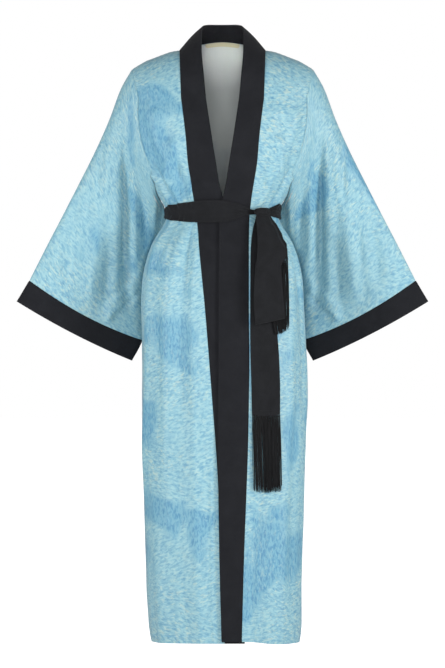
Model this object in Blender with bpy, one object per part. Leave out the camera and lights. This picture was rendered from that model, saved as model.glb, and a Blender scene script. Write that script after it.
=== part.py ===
"""A kimono robe with a tied belt, filled out as worn and hollow.

Lengths are millimetres and angles are degrees, and MM turns the lengths into Blender's metres. The origin
is the middle of the neck's base, level with the tops of the shoulders. +X is the wearer's left, -Y the front
and +Z up. Each cut piece is a sheet of points on the outside of the cloth, which wall() makes into a thin
closed solid.
"""

import bmesh
import bpy
import numpy as np

MM = 0.001

# Thickness of the cloth, and the clearances between pieces
PANEL_WALL = 2.0
BAND_WALL = 3.0
BELT_WALL = 2.2
LABEL_WALL = 0.8
SEAM_INSET = 0.2
SAME_SIDE = 0.5
LAY_GAP = 0.4

# Heights that the cut is set out from
UNDERARM = -335.0
HEM_LEVEL = -1331.0
HEM_START = -1210.0
SIDE_SEAM = 95.0

# How far the upper front stands off the under front where they lap
LAP_LIFT = 5.2
LAP_START = -285.0
LAP_FULL = -332.0
LAP_NEAR = 32.0
LAP_FAR = 60.0
UNDER_LAP_ANGLE = -48.0
UNDER_LAP_SPREAD = 36.0

# Where the belt sits
BELT_CLEAR = 1.4
KNOT_ANGLE = 50.0
KNOT_HEIGHT = -365.0
KNOT_OUT = 16.8
KNOT_SIZE = (15.5, 9.2, 9.0)
KNOT_TURN = 38.0
KNOT_WAVES = 0.07
HANG_TOP = KNOT_HEIGHT - KNOT_SIZE[2] - LAY_GAP

# Size of the fringe
FRINGE_STRANDS = 36
FRINGE_HEADER = 4.0
FRINGE_DEPTH = 1.5
FRINGE_GAP = 0.8
FRINGE_SWAY = 0.12
STRAND_SHARE = 0.68
STRAND_TAPER = 0.25
STRAND_LENGTHS = (0.95, 1.0)
STRAND_STATIONS = (0.0, 0.3, 0.65, 1.0)


def smooth_step(value):
    """0 below 0, 1 above 1, and an even rise between."""
    t = np.clip(value, 0.0, 1.0)
    return t * t * (3.0 - 2.0 * t)


def smooth_between(where, keys, values):
    """A cubic through the rows of a table that never swings past them."""
    steps = np.diff(keys)
    slopes = np.diff(values) / steps
    tangents = np.concatenate([slopes[:1], np.zeros(len(slopes) - 1), slopes[-1:]])
    turning = slopes[:-1] * slopes[1:] > 0.0
    before, after = slopes[:-1][turning], slopes[1:][turning]
    tangents[1:-1][turning] = 2.0 * before * after / (before + after)
    where = np.clip(where, keys[0], keys[-1])
    row = np.clip(np.searchsorted(keys, where) - 1, 0, len(steps) - 1)
    t = (where - keys[row]) / steps[row]
    rise = values[row] * (1.0 + 2.0 * t) * (1.0 - t) ** 2 + values[row + 1] * (3.0 - 2.0 * t) * t**2
    bend = steps[row] * (tangents[row] * t * (1.0 - t) ** 2 - tangents[row + 1] * (1.0 - t) * t**2)
    return rise + bend


class Table:
    """Sizes in named columns, read at any place along the first one."""

    def __init__(self, columns, rows):
        self.columns = columns.split()
        self.rows = np.array(sorted(rows), float)

    def at(self, column, where):
        values = self.rows[:, self.columns.index(column)]
        return smooth_between(np.asarray(where, float), self.rows[:, 0], values)

    def point(self, where):
        return np.stack([self.at(axis, where) for axis in "xyz"], axis=-1)


# The robe's outside at each height: half its width, how far its middle stands to the wearer's left, its
# depth before and behind the side line, and the power of the rounded rectangle that joins them
BODY = Table(
    "height half_width shift front back power",
    [
        (-110, 212, 0, 101, 99, 2.3),
        (-150, 211, 0, 113, 104, 2.3),
        (-200, 204, 0, 117, 105, 2.3),
        (-262, 184, 0, 110, 100, 2.3),
        (-310, 156, 0, 101, 95, 2.25),
        (-335, 141, 0, 97, 92, 2.2),
        (-352, 131, 0, 94, 90, 2.2),
        (-366, 127, 0, 92, 89, 2.2),
        (-380, 128, 0, 94, 91, 2.2),
        (-394, 133, 0, 97, 95, 2.2),
        (-416, 147, 0, 103, 103, 2.25),
        (-440, 160, 0, 110, 111, 2.3),
        (-472, 171, 0, 117, 120, 2.3),
        (-517, 180, 0, 123, 127, 2.3),
        (-563, 183, 0, 126, 131, 2.3),
        (-650, 185, 3, 127, 132, 2.3),
        (-787, 186, 5, 126, 131, 2.3),
        (-877, 184, 3, 125, 129, 2.3),
        (-1012, 180, 3, 123, 127, 2.3),
        (-1192, 175, 3, 121, 125, 2.3),
        (-1290, 172, 6, 120, 124, 2.3),
        (-1336, 165, 7, 119, 123, 2.3),
    ],
)

# The shoulder line, from the side of the neck to the top of the armhole
SHOULDER = Table(
    "x height",
    [(97, -1), (115, -4), (136, -11), (154, -18), (170, -24), (188, -34), (204, -44)],
)

# The rounded turn from the shoulder line down to the chest: how many of its 90 degrees it takes, and its
# power on the front, and on the back at shares from its middle to its armhole
FRONT_YOKE = 2.0
FRONT_TURN = 70.0
BACK_TURN = 82.0
BACK_YOKE = Table(
    "share power",
    [(0, 1.6), (0.25, 1.6), (0.38, 1.85), (0.51, 2.2), (0.64, 2.8), (0.75, 2.7), (1, 2.1)],
)

# The armhole below the shoulder, as angles round the body from the middle of the front
ARMHOLE = Table(
    "height front back",
    [(-110, 74, 107), (-200, 72, 108), (-262, 71, 109), (-298, 76, 106), (-320, 84, 101), (-335, 95, 95)],
)

# The neckband on the body: where its seam and its free edge stand, on the upper and the under front
NECKBAND = Table(
    "height upper_seam upper_edge under_seam under_edge",
    [
        (-110, 93, 37, -93, -37),
        (-157, 87, 30, -87, -30),
        (-202, 82, 23, -82, -23),
        (-252, 78, 15, -78, -15),
        (-297, 71, 8, -71, -8),
        (-335, 65, 0, -65, 1),
        (-387, 60, -7, -57, 9),
        (-450, 59, -8, -52, 14),
        (-585, 59, -9, -39, 27),
        (-695, 60, -9, -30, 36),
        (-787, 59, -10, -23, 42),
        (-891, 57, -11, -15, 47),
        (-1008, 53, -9, -8, 49),
        (-1141, 48, -7, -2, 50),
        (-1336, 43, -2, 5, 50),
    ],
)

# The seam of the back neck, from the side of the neck (0) to the middle of the back (1), and a row past it so
# that the curve crosses the middle squarely
NECK_SEAM = Table(
    "part x y z",
    [
        (0, 97, 0, -1),
        (0.25, 94, 30, 1),
        (0.5, 82, 55, 6),
        (0.75, 50, 76, 15),
        (1, 0, 86, 21),
        (1.25, -50, 76, 15),
    ],
)

# The neckband's free edge above the chest: 0 at the chest's top, 1 over the shoulder, 2 at the back's middle,
# and a row past it
NECK_EDGE = Table(
    "part x y z",
    [
        (0, 37, -100, -110),
        (0.35, 42, -94, -58),
        (0.7, 47, -62, 2),
        (1, 47, -18, 38),
        (1.3, 43, 18, 55),
        (1.65, 26, 41, 58),
        (2, 0, 48, 58),
        (2.35, -26, 41, 58),
    ],
)
NECKBAND_CROWN = 3.0

# The hem's height at each angle, on the upper front, on the under front, and on the back
HEM = Table(
    "angle upper under back",
    [
        (-180, -1331, -1331, -1332),
        (-95, -1329, -1329, -1329),
        (-60, -1329, -1332, -1331),
        (0, -1328, -1332, -1332),
        (22, -1328, -1332, -1332),
        (52, -1334, -1332, -1331),
        (80, -1332, -1331, -1330),
        (95, -1329, -1329, -1329),
        (180, -1331, -1331, -1332),
    ],
)

# The sleeve from the armhole (0) to the seam of the cuff (1) and the cuff's end (2): its upper fold, its
# lower fold, how far its two walls stand from the middle between them, and how far they sag towards the hand
SLEEVE = Table(
    "part top_x top_y top_z low_x low_y low_z depth sag",
    [
        (0, 204, 0, -44, 141, 12, -335, 66, 0),
        (0.08, 228, 1, -86, 136, 27, -352, 60, 0),
        (0.2, 254, 2, -155, 127, 47, -380, 51, 0),
        (0.35, 287, 4, -230, 141, 66, -426, 43, 0),
        (0.5, 323, 6, -302, 150, 80, -478, 38, 0),
        (0.65, 356, 8, -366, 159, 87, -532, 34, 2),
        (0.8, 391, 10, -433, 169, 89, -587, 31, 6),
        (1, 435, 12, -519, 181, 88, -653, 27, 12),
        (2, 463, 14, -566, 205, 86, -699, 28, 6),
    ],
)
SLEEVE_TAPER = 0.45
ARMHOLE_REACH = 0.4
RUN_STEP = 0.05

# Soft folds of the body, each from one angle and height to another: positive ones stand out. A fold that
# leaves the hem ends below it
BODY_FOLDS = Table(
    "number angle_top height_top angle_low height_low relief width",
    [
        (1, -50, -388, -63, -1500, 4.0, 6.0),
        (2, -36, -388, -40, -900, -4.0, 5.0),
        (3, -66, -386, -82, -1100, 3.5, 5.0),
        (4, -30, -560, -24, -1600, 3.5, 6.0),
        (5, 63, -386, 56, -1500, 4.0, 6.0),
        (6, 76, -388, 74, -900, -3.0, 5.0),
        (7, 42, -700, 37, -1600, -4.5, 5.0),
        (8, 132, -390, 124, -1500, 4.0, 6.0),
        (9, 150, -390, 146, -1000, -4.0, 6.0),
        (10, 166, -390, 163, -1600, 5.0, 7.0),
        (11, -172, -390, -178, -1200, -4.0, 6.0),
        (12, -158, -390, -160, -1600, 4.5, 7.0),
        (13, -140, -390, -133, -1100, -4.0, 6.0),
        (14, -122, -390, -116, -1500, 4.0, 6.0),
        (15, -48, -200, -58, -340, 4.0, 5.0),
        (16, -62, -225, -76, -342, -4.0, 5.0),
        (17, 52, -190, 60, -340, 4.0, 5.0),
        (18, 64, -230, 76, -342, -4.0, 5.0),
        (19, 150, -200, 140, -340, 4.0, 6.0),
        (20, 172, -220, 166, -340, -3.5, 6.0),
        (21, -164, -200, -158, -340, 4.0, 6.0),
        (22, -142, -220, -136, -340, -3.5, 6.0),
    ],
)
FOLD_RISE = 0.12
FOLD_FALL = 0.3

# Soft folds of each sleeve as seen from in front, on its front wall (side 1) or its back wall (side -1)
SLEEVE_FOLDS = Table(
    "number from_x from_z to_x to_z relief width side",
    [
        (1, 212, -250, 216, -580, -7.0, 13.0, 1),
        (2, 190, -545, 262, -606, 6.0, 11.0, 1),
        (3, 262, -210, 300, -560, 5.0, 16.0, 1),
        (4, 330, -330, 352, -520, -4.0, 14.0, 1),
        (5, 222, -180, 232, -600, -7.0, 15.0, -1),
        (6, 276, -260, 300, -580, 5.0, 16.0, -1),
        (7, 344, -360, 372, -540, -4.0, 14.0, -1),
    ],
)

# The belt round the waist: the heights of its two edges at each angle
BELT = Table(
    "angle top bottom",
    [
        (-180, -341, -390),
        (-140, -343, -389),
        (-108, -351, -384),
        (-88, -353, -381),
        (-60, -348, -385),
        (-40, -343, -388),
        (-20, -340, -389),
        (0, -340, -388),
        (15, -345, -383),
        (28, -353, -375),
        (40, -361, -371),
        (55, -361, -372),
        (72, -347, -378),
        (88, -350, -381),
        (108, -351, -384),
        (140, -343, -389),
        (180, -341, -390),
    ],
)
BELT_CREASES = 2.5
BELT_CREASE_HEIGHT = 0.9

# What hangs from the knot: each strip's two edges seen from in front, and how far it stands off the robe
LONG_TAIL = Table(
    "height left right out",
    [
        (HANG_TOP, 78, 97, 11),
        (-398, 70, 110, 7),
        (-427, 65, 118, 4.8),
        (-460, 63, 122, 4.2),
        (-612, 62, 122, 4),
        (-697, 63, 127, 4),
        (-760, 65, 129, 4),
        (-819, 66, 129, 4),
    ],
)
SHORT_TAIL = Table(
    "height left right out",
    [
        (HANG_TOP, 80, 98, 15),
        (-398, 84, 118, 12.6),
        (-427, 86, 134, 10),
        (-450, 86, 145, 8.8),
        (-484, 87, 148, 8.8),
    ],
)
SHORT_TAIL_SLANT = 14.0
LOOP = Table(
    "height left right front back",
    [
        (HANG_TOP, 76, 101, 25, 19),
        (-399, 77, 124, 27, 17),
        (-425, 79, 135, 28, 15),
        (-441, 79, 143, 28, 14),
        (-458, 78, 144, 29, 13.5),
        (-472, 77, 139, 29, 13.5),
        (-486, 74, 131, 29, 13.5),
        (-568, 70, 137, 29, 13.5),
        (-620, 74, 141, 28, 13.5),
    ],
)
LOOP_LOW_LEFT = -619.0
LOOP_LOW_RIGHT = -605.0
LOOP_CREASE_START = 33.0
STRIP_CREASES = 2.0
STRIP_CREASE_HEIGHT = 0.8
LONG_FRINGE_DROP = 164.0
LONG_FRINGE_OUT = 3.2
SHORT_FRINGE_DROP = 155.0
SHORT_FRINGE_OUT = 8.2

# The label inside the back of the neck, in rows and columns of the back's own grid
LABEL_ROWS = (0.25, 1.0, 1.5)
LABEL_COLUMNS = (-0.97, 0.0, 0.97)

# How finely the sheets are divided, and how often a place on the robe's front is searched for
YOKE_STEPS = 5
CHEST_ROWS = (-110, -150, -197, -248, -298, UNDERARM)
SKIRT_ROWS = (-352, -366, -380, -398, -422, -455, -500, -560, -640, -740, -850, -970, -1090, HEM_START, -1300)
FRONT_COLUMNS = 10
NECK_COLUMNS = 5
SHOULDER_COLUMNS = 4
NECK_SHARE = 0.64
BAND_COLUMNS = 3
SLEEVE_PARTS = (0, 0.05, 0.12, 0.2, 0.3, 0.4, 0.5, 0.6, 0.7, 0.8, 0.9, 1)
CUFF_PARTS = (1, 1.5, 2)
BELT_STEPS = 44
BELT_ROWS = 4
STRIP_COLUMNS = 4
LONG_TAIL_ROWS = 12
SHORT_TAIL_ROWS = 6
LOOP_ROWS = 10
LOOP_TURN_ROWS = 4
KNOT_COLUMNS = 16
KNOT_ROWS = 10
SHARP_ANGLE = 40.0
SEARCH_ROUNDS = 6

# Colours as the cloth shows them, roughness, and the metal share
FINISHES = {
    "blue_satin": ((0.30, 0.53, 0.63, 1.0), 0.42, 0.0),
    "black_crepe": ((0.022, 0.024, 0.030, 1.0), 0.75, 0.0),
    "black_fringe": ((0.012, 0.013, 0.017, 1.0), 0.6, 0.0),
    "tan_label": ((0.24, 0.23, 0.15, 1.0), 0.7, 0.0),
}


def lap_lift(angle, height, side):
    """How far the upper front, on side 1, stands off the under one."""
    down = smooth_step((LAP_START - height) / (LAP_START - LAP_FULL))
    across = smooth_step((LAP_FAR - angle) / (LAP_FAR - LAP_NEAR))
    return np.where(side > 0, LAP_LIFT * down * across, 0.0)


def body_relief(angle, height):
    """The folds' height on the body at this angle and height."""
    total = np.zeros(np.broadcast(angle, height).shape)
    for _, angle_top, height_top, angle_low, height_low, relief, width in BODY_FOLDS.rows:
        along = (height_top - height) / (height_top - height_low)
        middle = angle_top + (angle_low - angle_top) * np.clip(along, 0.0, 1.0)
        off = (angle - middle + 180.0) % 360.0 - 180.0
        ends = smooth_step(along / FOLD_RISE) * smooth_step((1.0 - along) / FOLD_FALL)
        total = total + relief * ends * np.exp(-((off / width) ** 2))
    return total


def body(angle, height, lift=0.0):
    """A point on the robe's outside, moved out by lift."""
    angle, height = np.broadcast_arrays(np.asarray(angle, float), np.asarray(height, float))
    across, forward = np.sin(np.radians(angle)), np.cos(np.radians(angle))
    half_width = BODY.at("half_width", height)
    depth = np.where(forward > 0.0, BODY.at("front", height), BODY.at("back", height))
    power = BODY.at("power", height)
    reach = (np.abs(across / half_width) ** power + np.abs(forward / depth) ** power) ** (-1.0 / power)
    x, y = reach * across, -reach * forward
    slope_x = np.sign(x) * np.abs(x) ** (power - 1.0) / half_width**power
    slope_y = np.sign(y) * np.abs(y) ** (power - 1.0) / depth**power
    out = (lift + body_relief(angle, height)) / np.hypot(slope_x, slope_y)
    x = x + BODY.at("shift", height) + out * slope_x
    return np.stack([x, y + out * slope_y, height], axis=-1)


def front_angle(x, height, lift=0.0):
    """The angle at which the robe's front, moved out by lift, stands at this x."""
    x, height = np.broadcast_arrays(np.asarray(x, float), np.asarray(height, float))
    half_width, front = BODY.at("half_width", height), BODY.at("front", height)
    power = BODY.at("power", height)
    aim = x - BODY.at("shift", height)
    for _ in range(SEARCH_ROUNDS):
        share = np.clip(np.abs(aim) / half_width, 0.0, 0.995)
        angle = np.degrees(np.arctan2(aim, front * (1.0 - share**power) ** (1.0 / power)))
        aim = aim + x - body(angle, height, lift)[..., 0]
    return angle


def lapped_body(angle, height, side, out=0.0):
    """A point that stands out from a front, over the lap."""
    return body(angle, height, lap_lift(angle, height, side) + out)


def lapped_angle(x, height, side, out=0.0):
    """The angle at which lapped_body stands at this x."""
    rough = front_angle(x, height, out)
    return front_angle(x, height, lap_lift(rough, height, side) + out)


def over_front(x, height, out):
    """A point at this x that stands out from the upper front."""
    return lapped_body(lapped_angle(x, height, 1, out), height, 1, out)


def yoke(top, bottom, part, power, last_turn):
    """From the shoulder or neck (0) round to the chest's top (1), as most of a rounded quarter turn."""
    turn = np.radians(last_turn * np.asarray(part, float))[..., None]
    last = np.radians(last_turn)
    curve = 2.0 / np.asarray(power, float)[..., None]
    fall = (1.0 - np.cos(turn) ** curve) / (1.0 - np.cos(last) ** curve)
    level = top + (bottom - top) * fall
    level[..., 1:2] = top[..., 1:2] + (bottom - top)[..., 1:2] * (np.sin(turn) / np.sin(last)) ** curve
    return level


def shoulder_line(share):
    """Points of the shoulder line on the wearer's left, from the neck (0) to the armhole (1)."""
    first, last = SHOULDER.rows[0, 0], SHOULDER.rows[-1, 0]
    x = first + (last - first) * share
    return np.stack([x, np.zeros_like(x), SHOULDER.at("height", x)], axis=-1)


def mirrored(points, side):
    return points * np.array([side, 1.0, 1.0])


def body_rows():
    return np.array([*CHEST_ROWS, *SKIRT_ROWS, HEM_LEVEL], float)


def hung(angle, height, layer):
    """The height of a row at this angle: the rows near the hem follow its line."""
    near = smooth_step((HEM_START - height) / (HEM_START - HEM_LEVEL))
    return height + (HEM.at(layer, angle) - HEM_LEVEL) * near


def front_panel(side, layer):
    """One front, from its shoulder to its hem and from its neckband's seam to its armhole and side seam."""
    heights = body_rows()[:, None]
    share = np.linspace(0.0, 1.0, FRONT_COLUMNS + 1)
    outer = side * np.where(heights > UNDERARM, ARMHOLE.at("front", heights), SIDE_SEAM)
    inner = lapped_angle(NECKBAND.at(f"{layer}_seam", heights), heights, side)
    angle = inner + (outer - inner) * share
    lower = lapped_body(angle, hung(angle, heights, layer), side)
    parts = np.linspace(0.0, 1.0, YOKE_STEPS + 1)[:-1, None]
    top = mirrored(shoulder_line(share), side)[None]
    upper = yoke(top, lower[:1], parts, FRONT_YOKE, FRONT_TURN)
    return np.concatenate([upper, lower])


def back_shares():
    """How the back's columns are spread from its middle to its armhole, with one at the side of the neck."""
    neck = np.linspace(0.0, NECK_SHARE, NECK_COLUMNS + 1)
    return np.concatenate([neck, np.linspace(NECK_SHARE, 1.0, SHOULDER_COLUMNS + 1)[1:]])


def back_top(share):
    """Points of the back's upper edge on the wearer's left, at these shares from its middle."""
    neck = NECK_SEAM.point(1.0 - share / NECK_SHARE)
    shoulder = shoulder_line(np.clip((share - NECK_SHARE) / (1.0 - NECK_SHARE), 0.0, 1.0))
    return np.where((share <= NECK_SHARE)[..., None], neck, shoulder)


def back_panel():
    """The back in one piece, from the wearer's right armhole to the left one."""
    halves = []
    heights = body_rows()[:, None]
    parts = np.linspace(0.0, 1.0, YOKE_STEPS + 1)[:-1, None]
    share = back_shares()
    for side in (-1, 1):
        outer = np.where(heights > UNDERARM, ARMHOLE.at("back", heights), SIDE_SEAM)
        angle = side * (180.0 - (180.0 - outer) * share)
        lower = body(angle, hung(angle, heights, "back"))
        top = mirrored(back_top(share), side)[None]
        upper = yoke(top, lower[:1], parts, BACK_YOKE.at("power", share), BACK_TURN)
        halves.append(np.concatenate([upper, lower]))
    right, left = halves
    return np.concatenate([right[:, :0:-1], left], axis=1)


def neckband(side, panel, layer):
    """Half the neckband, from the hem up its front's edge, over the shoulder to the middle of the back."""
    share = np.linspace(0.0, 1.0, BAND_COLUMNS + 1)
    heights = panel[YOKE_STEPS:, 0, 2:3]
    first = lapped_angle(NECKBAND.at(f"{layer}_seam", heights), heights, side)
    last = lapped_angle(NECKBAND.at(f"{layer}_edge", heights), heights, side)
    on_body = lapped_body(first + (last - first) * share, heights, side)[::-1]
    over_part = np.linspace(0.0, 1.0, YOKE_STEPS + 1)[1:]
    back_part = np.linspace(0.0, 1.0, NECK_COLUMNS + 1)[1:]
    sewn = np.concatenate([panel[YOKE_STEPS - 1 :: -1, 0], mirrored(NECK_SEAM.point(back_part), side)])
    part = np.concatenate([over_part, 1.0 + back_part])
    free = mirrored(NECK_EDGE.point(part), side)
    along = np.gradient(sewn + free, axis=0)
    out = np.cross(along, free - sewn)
    out = out / np.linalg.norm(out, axis=1, keepdims=True)
    out = out * np.sign(out[:, 2:3] + out[:, 0:1] * side)
    out[-1] *= (0.0, 1.0, 1.0)
    crown = NECKBAND_CROWN * np.sin(np.pi * share) * smooth_step(2.0 * part)[:, None]
    above = sewn[:, None] + (free - sewn)[:, None] * share[:, None] + out[:, None] * crown[..., None]
    return np.concatenate([on_body, above])


def armhole_loop(side, front, back):
    """The armhole's edge, down the front from the shoulder and up the back again."""
    rows = YOKE_STEPS + len(CHEST_ROWS)
    edge = back[:, -1] if side > 0 else back[:, 0]
    return np.concatenate([front[:rows, -1], edge[rows - 2 : 0 : -1]])


def sleeve_relief(points, front_wall):
    """The height of a sleeve's folds at points of its front or back wall."""
    total = np.zeros(points.shape[:-1])
    place = np.abs(points[..., [0]]), points[..., [2]]
    place = np.concatenate(place, axis=-1)
    for _, from_x, from_z, to_x, to_z, relief, width, wall_side in SLEEVE_FOLDS.rows:
        start, run = np.array([from_x, from_z]), np.array([to_x - from_x, to_z - from_z])
        along = (place - start) @ run / (run @ run)
        nearest = start + np.clip(along, 0.0, 1.0)[..., None] * run
        away = np.linalg.norm(place - nearest, axis=-1)
        ends = smooth_step(0.5 + 4.0 * along) * smooth_step(0.5 + 4.0 * (1.0 - along))
        total += relief * ends * np.exp(-((away / width) ** 2)) * (front_wall == (wall_side > 0))
    return total


def sleeve_fold(fold, parts, side):
    """Points of a sleeve's upper fold (top) or lower fold (low)."""
    points = np.stack([SLEEVE.at(f"{fold}_{axis}", parts) for axis in "xyz"], axis=-1)
    return mirrored(points, side)


def sleeve_middle(parts, side):
    return (sleeve_fold("top", parts, side) + sleeve_fold("low", parts, side)) / 2.0


def sleeve_sections(side, loop, parts):
    """Sections of a sleeve and its cuff, which start as the armhole's loop and flatten towards the cuff."""
    parts = np.asarray(parts, float)
    top, low = sleeve_fold("top", parts, side), sleeve_fold("low", parts, side)
    run = sleeve_middle(parts + RUN_STEP, side) - sleeve_middle(parts - RUN_STEP, side)
    out = np.cross(low - top, run)
    out = out / np.linalg.norm(out, axis=1, keepdims=True)
    out = (out * -np.sign(out[:, 1:2]))[:, None]
    flat = smooth_step(parts / ARMHOLE_REACH)[:, None, None]
    loop_top, loop_low = loop[0], loop[len(loop) // 2]
    top = top[:, None] + (loop_top - sleeve_fold("top", 0.0, side)) * (1.0 - flat)
    low = low[:, None] + (loop_low - sleeve_fold("low", 0.0, side)) * (1.0 - flat)
    chord = loop_low - loop_top
    loop_share = ((loop - loop_top) @ chord / (chord @ chord))[:, None]
    loop_off = loop - loop_top - loop_share * chord
    turn = np.linspace(0.0, 2.0 * np.pi, len(loop), endpoint=False)[:, None]
    flat_share = (1.0 - np.cos(turn)) / 2.0
    share = loop_share + (flat_share - loop_share) * flat
    depth = SLEEVE.at("depth", parts)[:, None, None]
    flat_off = out * depth * np.sin(turn) * (1.0 - SLEEVE_TAPER * flat_share)
    sag = SLEEVE.at("sag", parts)[:, None] * run / np.linalg.norm(run, axis=1, keepdims=True)
    points = top + (low - top) * share + loop_off * (1.0 - flat) + flat_off * flat
    points = points + sag[:, None] * np.sin(turn) ** 2
    front_wall = (np.sin(turn) > 0.0)[:, 0]
    wall_share = np.sign(np.sin(turn)) * np.sqrt(np.abs(np.sin(turn)))
    return points + out * wall_share * (sleeve_relief(points, front_wall) * flat[..., 0])[..., None]


def belt_lift(angle, height):
    """How far the belt's inside stands off the robe, over the lapped fronts and down to the single one."""
    over = lap_lift(angle, height, 1.0)
    under = LAP_LIFT * smooth_step((angle - UNDER_LAP_ANGLE) / UNDER_LAP_SPREAD)
    return np.where(angle > 0.0, over, under) + BELT_CLEAR


def belt_round():
    """The belt's turn round the waist, which narrows to the knot, with soft creases along it."""
    angle = np.linspace(-180.0, 180.0, BELT_STEPS, endpoint=False)
    share = np.linspace(0.0, 1.0, BELT_ROWS + 1)[:, None]
    top, bottom = BELT.at("top", angle), BELT.at("bottom", angle)
    crease = BELT_CREASE_HEIGHT * (1.0 + np.sin(2.0 * np.pi * BELT_CREASES * share))
    height = top + (bottom - top) * share
    return body(angle, height, belt_lift(angle, height) + BELT_WALL + crease)


def strip_creases(share):
    return STRIP_CREASE_HEIGHT * (1.0 + np.sin(2.0 * np.pi * STRIP_CREASES * share))


def tail(table, rows, slant):
    """A hanging end of the belt, from the knot down, with its lower edge higher by slant on the right."""
    share = np.linspace(0.0, 1.0, STRIP_COLUMNS + 1)
    start, end = table.rows[-1, 0], table.rows[0, 0]
    drop = np.linspace(0.0, 1.0, rows + 1)[:, None]
    height = start + (end + slant * share - start) * drop
    left, right = table.at("left", height), table.at("right", height)
    fade = smooth_step(3.0 * drop) * smooth_step(6.0 * (1.0 - drop))
    out = table.at("out", height) + strip_creases(share) * fade
    return over_front(left + (right - left) * share, height, out)


def belt_loop():
    """The hanging loop: its front layer runs down from the knot, turns under and comes up again behind."""
    share = np.linspace(0.0, 1.0, STRIP_COLUMNS + 1)
    low = LOOP_LOW_LEFT + (LOOP_LOW_RIGHT - LOOP_LOW_LEFT) * share
    drop = np.linspace(0.0, 1.0, LOOP_ROWS + 1)[:, None]
    turn = np.radians(np.linspace(0.0, 180.0, LOOP_TURN_ROWS + 1)[1:-1])[:, None]
    radius = (LOOP.at("front", low) - LOOP.at("back", low)) / 2.0
    down = HANG_TOP + (low + radius - HANG_TOP) * drop
    under = low + radius - radius * np.sin(turn)
    height = np.concatenate([down, under, down[::-1]])
    front, back = LOOP.at("front", height), LOOP.at("back", height)
    sway = np.concatenate([np.ones_like(down), 0.5 + 0.5 * np.cos(turn) + 0.0 * share, np.zeros_like(down)])
    left, right = LOOP.at("left", height), LOOP.at("right", height)
    crease = strip_creases(share) * smooth_step((HANG_TOP - height) / LOOP_CREASE_START) * (sway - 0.5)
    out = back + (front - back) * sway + crease
    return over_front(left + (right - left) * share, height, out)


def knot():
    """The belt's knot, a rounded lump of wound cloth just outside the belt."""
    around = np.radians(np.linspace(0.0, 360.0, KNOT_COLUMNS, endpoint=False))[None, :]
    up = np.radians(np.linspace(-90.0, 90.0, KNOT_ROWS + 1))[:, None]
    wound = 1.0 + KNOT_WAVES * np.cos(3.0 * around + 4.0 * up) * np.cos(up)
    level = np.cos(up) ** 0.7 * wound
    wide, deep, tall = KNOT_SIZE
    x = wide * level * np.cos(around)
    y = deep * level * np.sin(around)
    z = tall * np.sign(np.sin(up)) * np.abs(np.sin(up)) ** 0.8 + 0.0 * around
    middle = body(KNOT_ANGLE, KNOT_HEIGHT, KNOT_OUT)
    turn = np.radians(KNOT_TURN)
    across = np.array([np.cos(turn), np.sin(turn), 0.0])
    outward = np.array([np.sin(turn), -np.cos(turn), 0.0])
    return middle + x[..., None] * across + y[..., None] * outward + z[..., None] * np.array([0.0, 0.0, 1.0])


def label_face(back):
    """The label's outer face: the inside of the back, read between its own points and moved in."""
    inside = back.points - (back.thickness + LAY_GAP) * back.normals
    middle = back.points.shape[1] // 2
    columns = middle + np.array(LABEL_COLUMNS)
    along = np.arange(inside.shape[1])
    read = np.stack([[np.interp(columns, along, row[:, axis]) for axis in range(3)] for row in inside[:3]])
    read = np.moveaxis(read, 1, 2)
    rows = [read[int(row)] + (row - int(row)) * (read[int(row) + 1] - read[int(row)]) for row in LABEL_ROWS]
    return np.array(rows)


def grid_normals(points, around):
    """Unit vectors square to a sheet at each of its points."""
    down = np.gradient(points, axis=0)
    if around:
        across = np.roll(points, -1, axis=1) - np.roll(points, 1, axis=1)
    else:
        across = np.gradient(points, axis=1)
    normals = np.cross(down, across)
    return normals / np.linalg.norm(normals, axis=-1, keepdims=True)


class Sheet:
    """One cut piece: the grid of its outer points, its thickness, and which way its wall lies from them."""

    def __init__(self, name, points, thickness, finish, inside, around=False):
        self.name = name
        self.points = points
        self.thickness = thickness
        self.finish = finish
        self.around = around
        normals = grid_normals(points, around)
        away = points - inside
        self.normals = normals * np.sign((normals * away).sum(axis=-1).mean())

    def rim(self):
        """The row and column of each point on the sheet's edges."""
        rows, columns = self.points.shape[:2]
        places = [(row, column) for row in (0, rows - 1) for column in range(columns)]
        if not self.around:
            places += [(row, column) for column in (0, columns - 1) for row in range(1, rows - 1)]
        return places


def share_seam_normals(sheets):
    """Where edges meet in a seam, both walls take one direction, so that their insides don't cross.

    The shoulder line lies in the plane y = 0, so walls there point neither to the front nor to the back.
    """
    meeting = {}
    for sheet in sheets:
        for place in sheet.rim():
            if sheet.points[place][1] == 0.0:
                flat = sheet.normals[place] * np.array([1.0, 0.0, 1.0])
                sheet.normals[place] = flat / np.linalg.norm(flat)
            key = tuple(np.round(sheet.points[place], 2))
            meeting.setdefault(key, []).append((sheet, place))
    for edges in meeting.values():
        normals = np.array([sheet.normals[place] for sheet, place in edges])
        mean = normals.sum(axis=0) / np.linalg.norm(normals.sum(axis=0))
        if (normals @ mean).min() > SAME_SIDE:
            for sheet, place in edges:
                sheet.normals[place] = mean


def inset_edges(sheet, distance):
    """Draws a sheet's edges in along its own surface, which leaves the seam's gap."""
    moved = sheet.points.copy()
    ends = [(0, 1), (-1, -2)]
    for edge, beside in ends:
        step = sheet.points[beside] - sheet.points[edge]
        moved[edge] += distance * step / np.linalg.norm(step, axis=-1, keepdims=True)
    if not sheet.around:
        for edge, beside in ends:
            step = sheet.points[:, beside] - sheet.points[:, edge]
            moved[:, edge] += distance * step / np.linalg.norm(step, axis=-1, keepdims=True)
    sheet.points = moved


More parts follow.
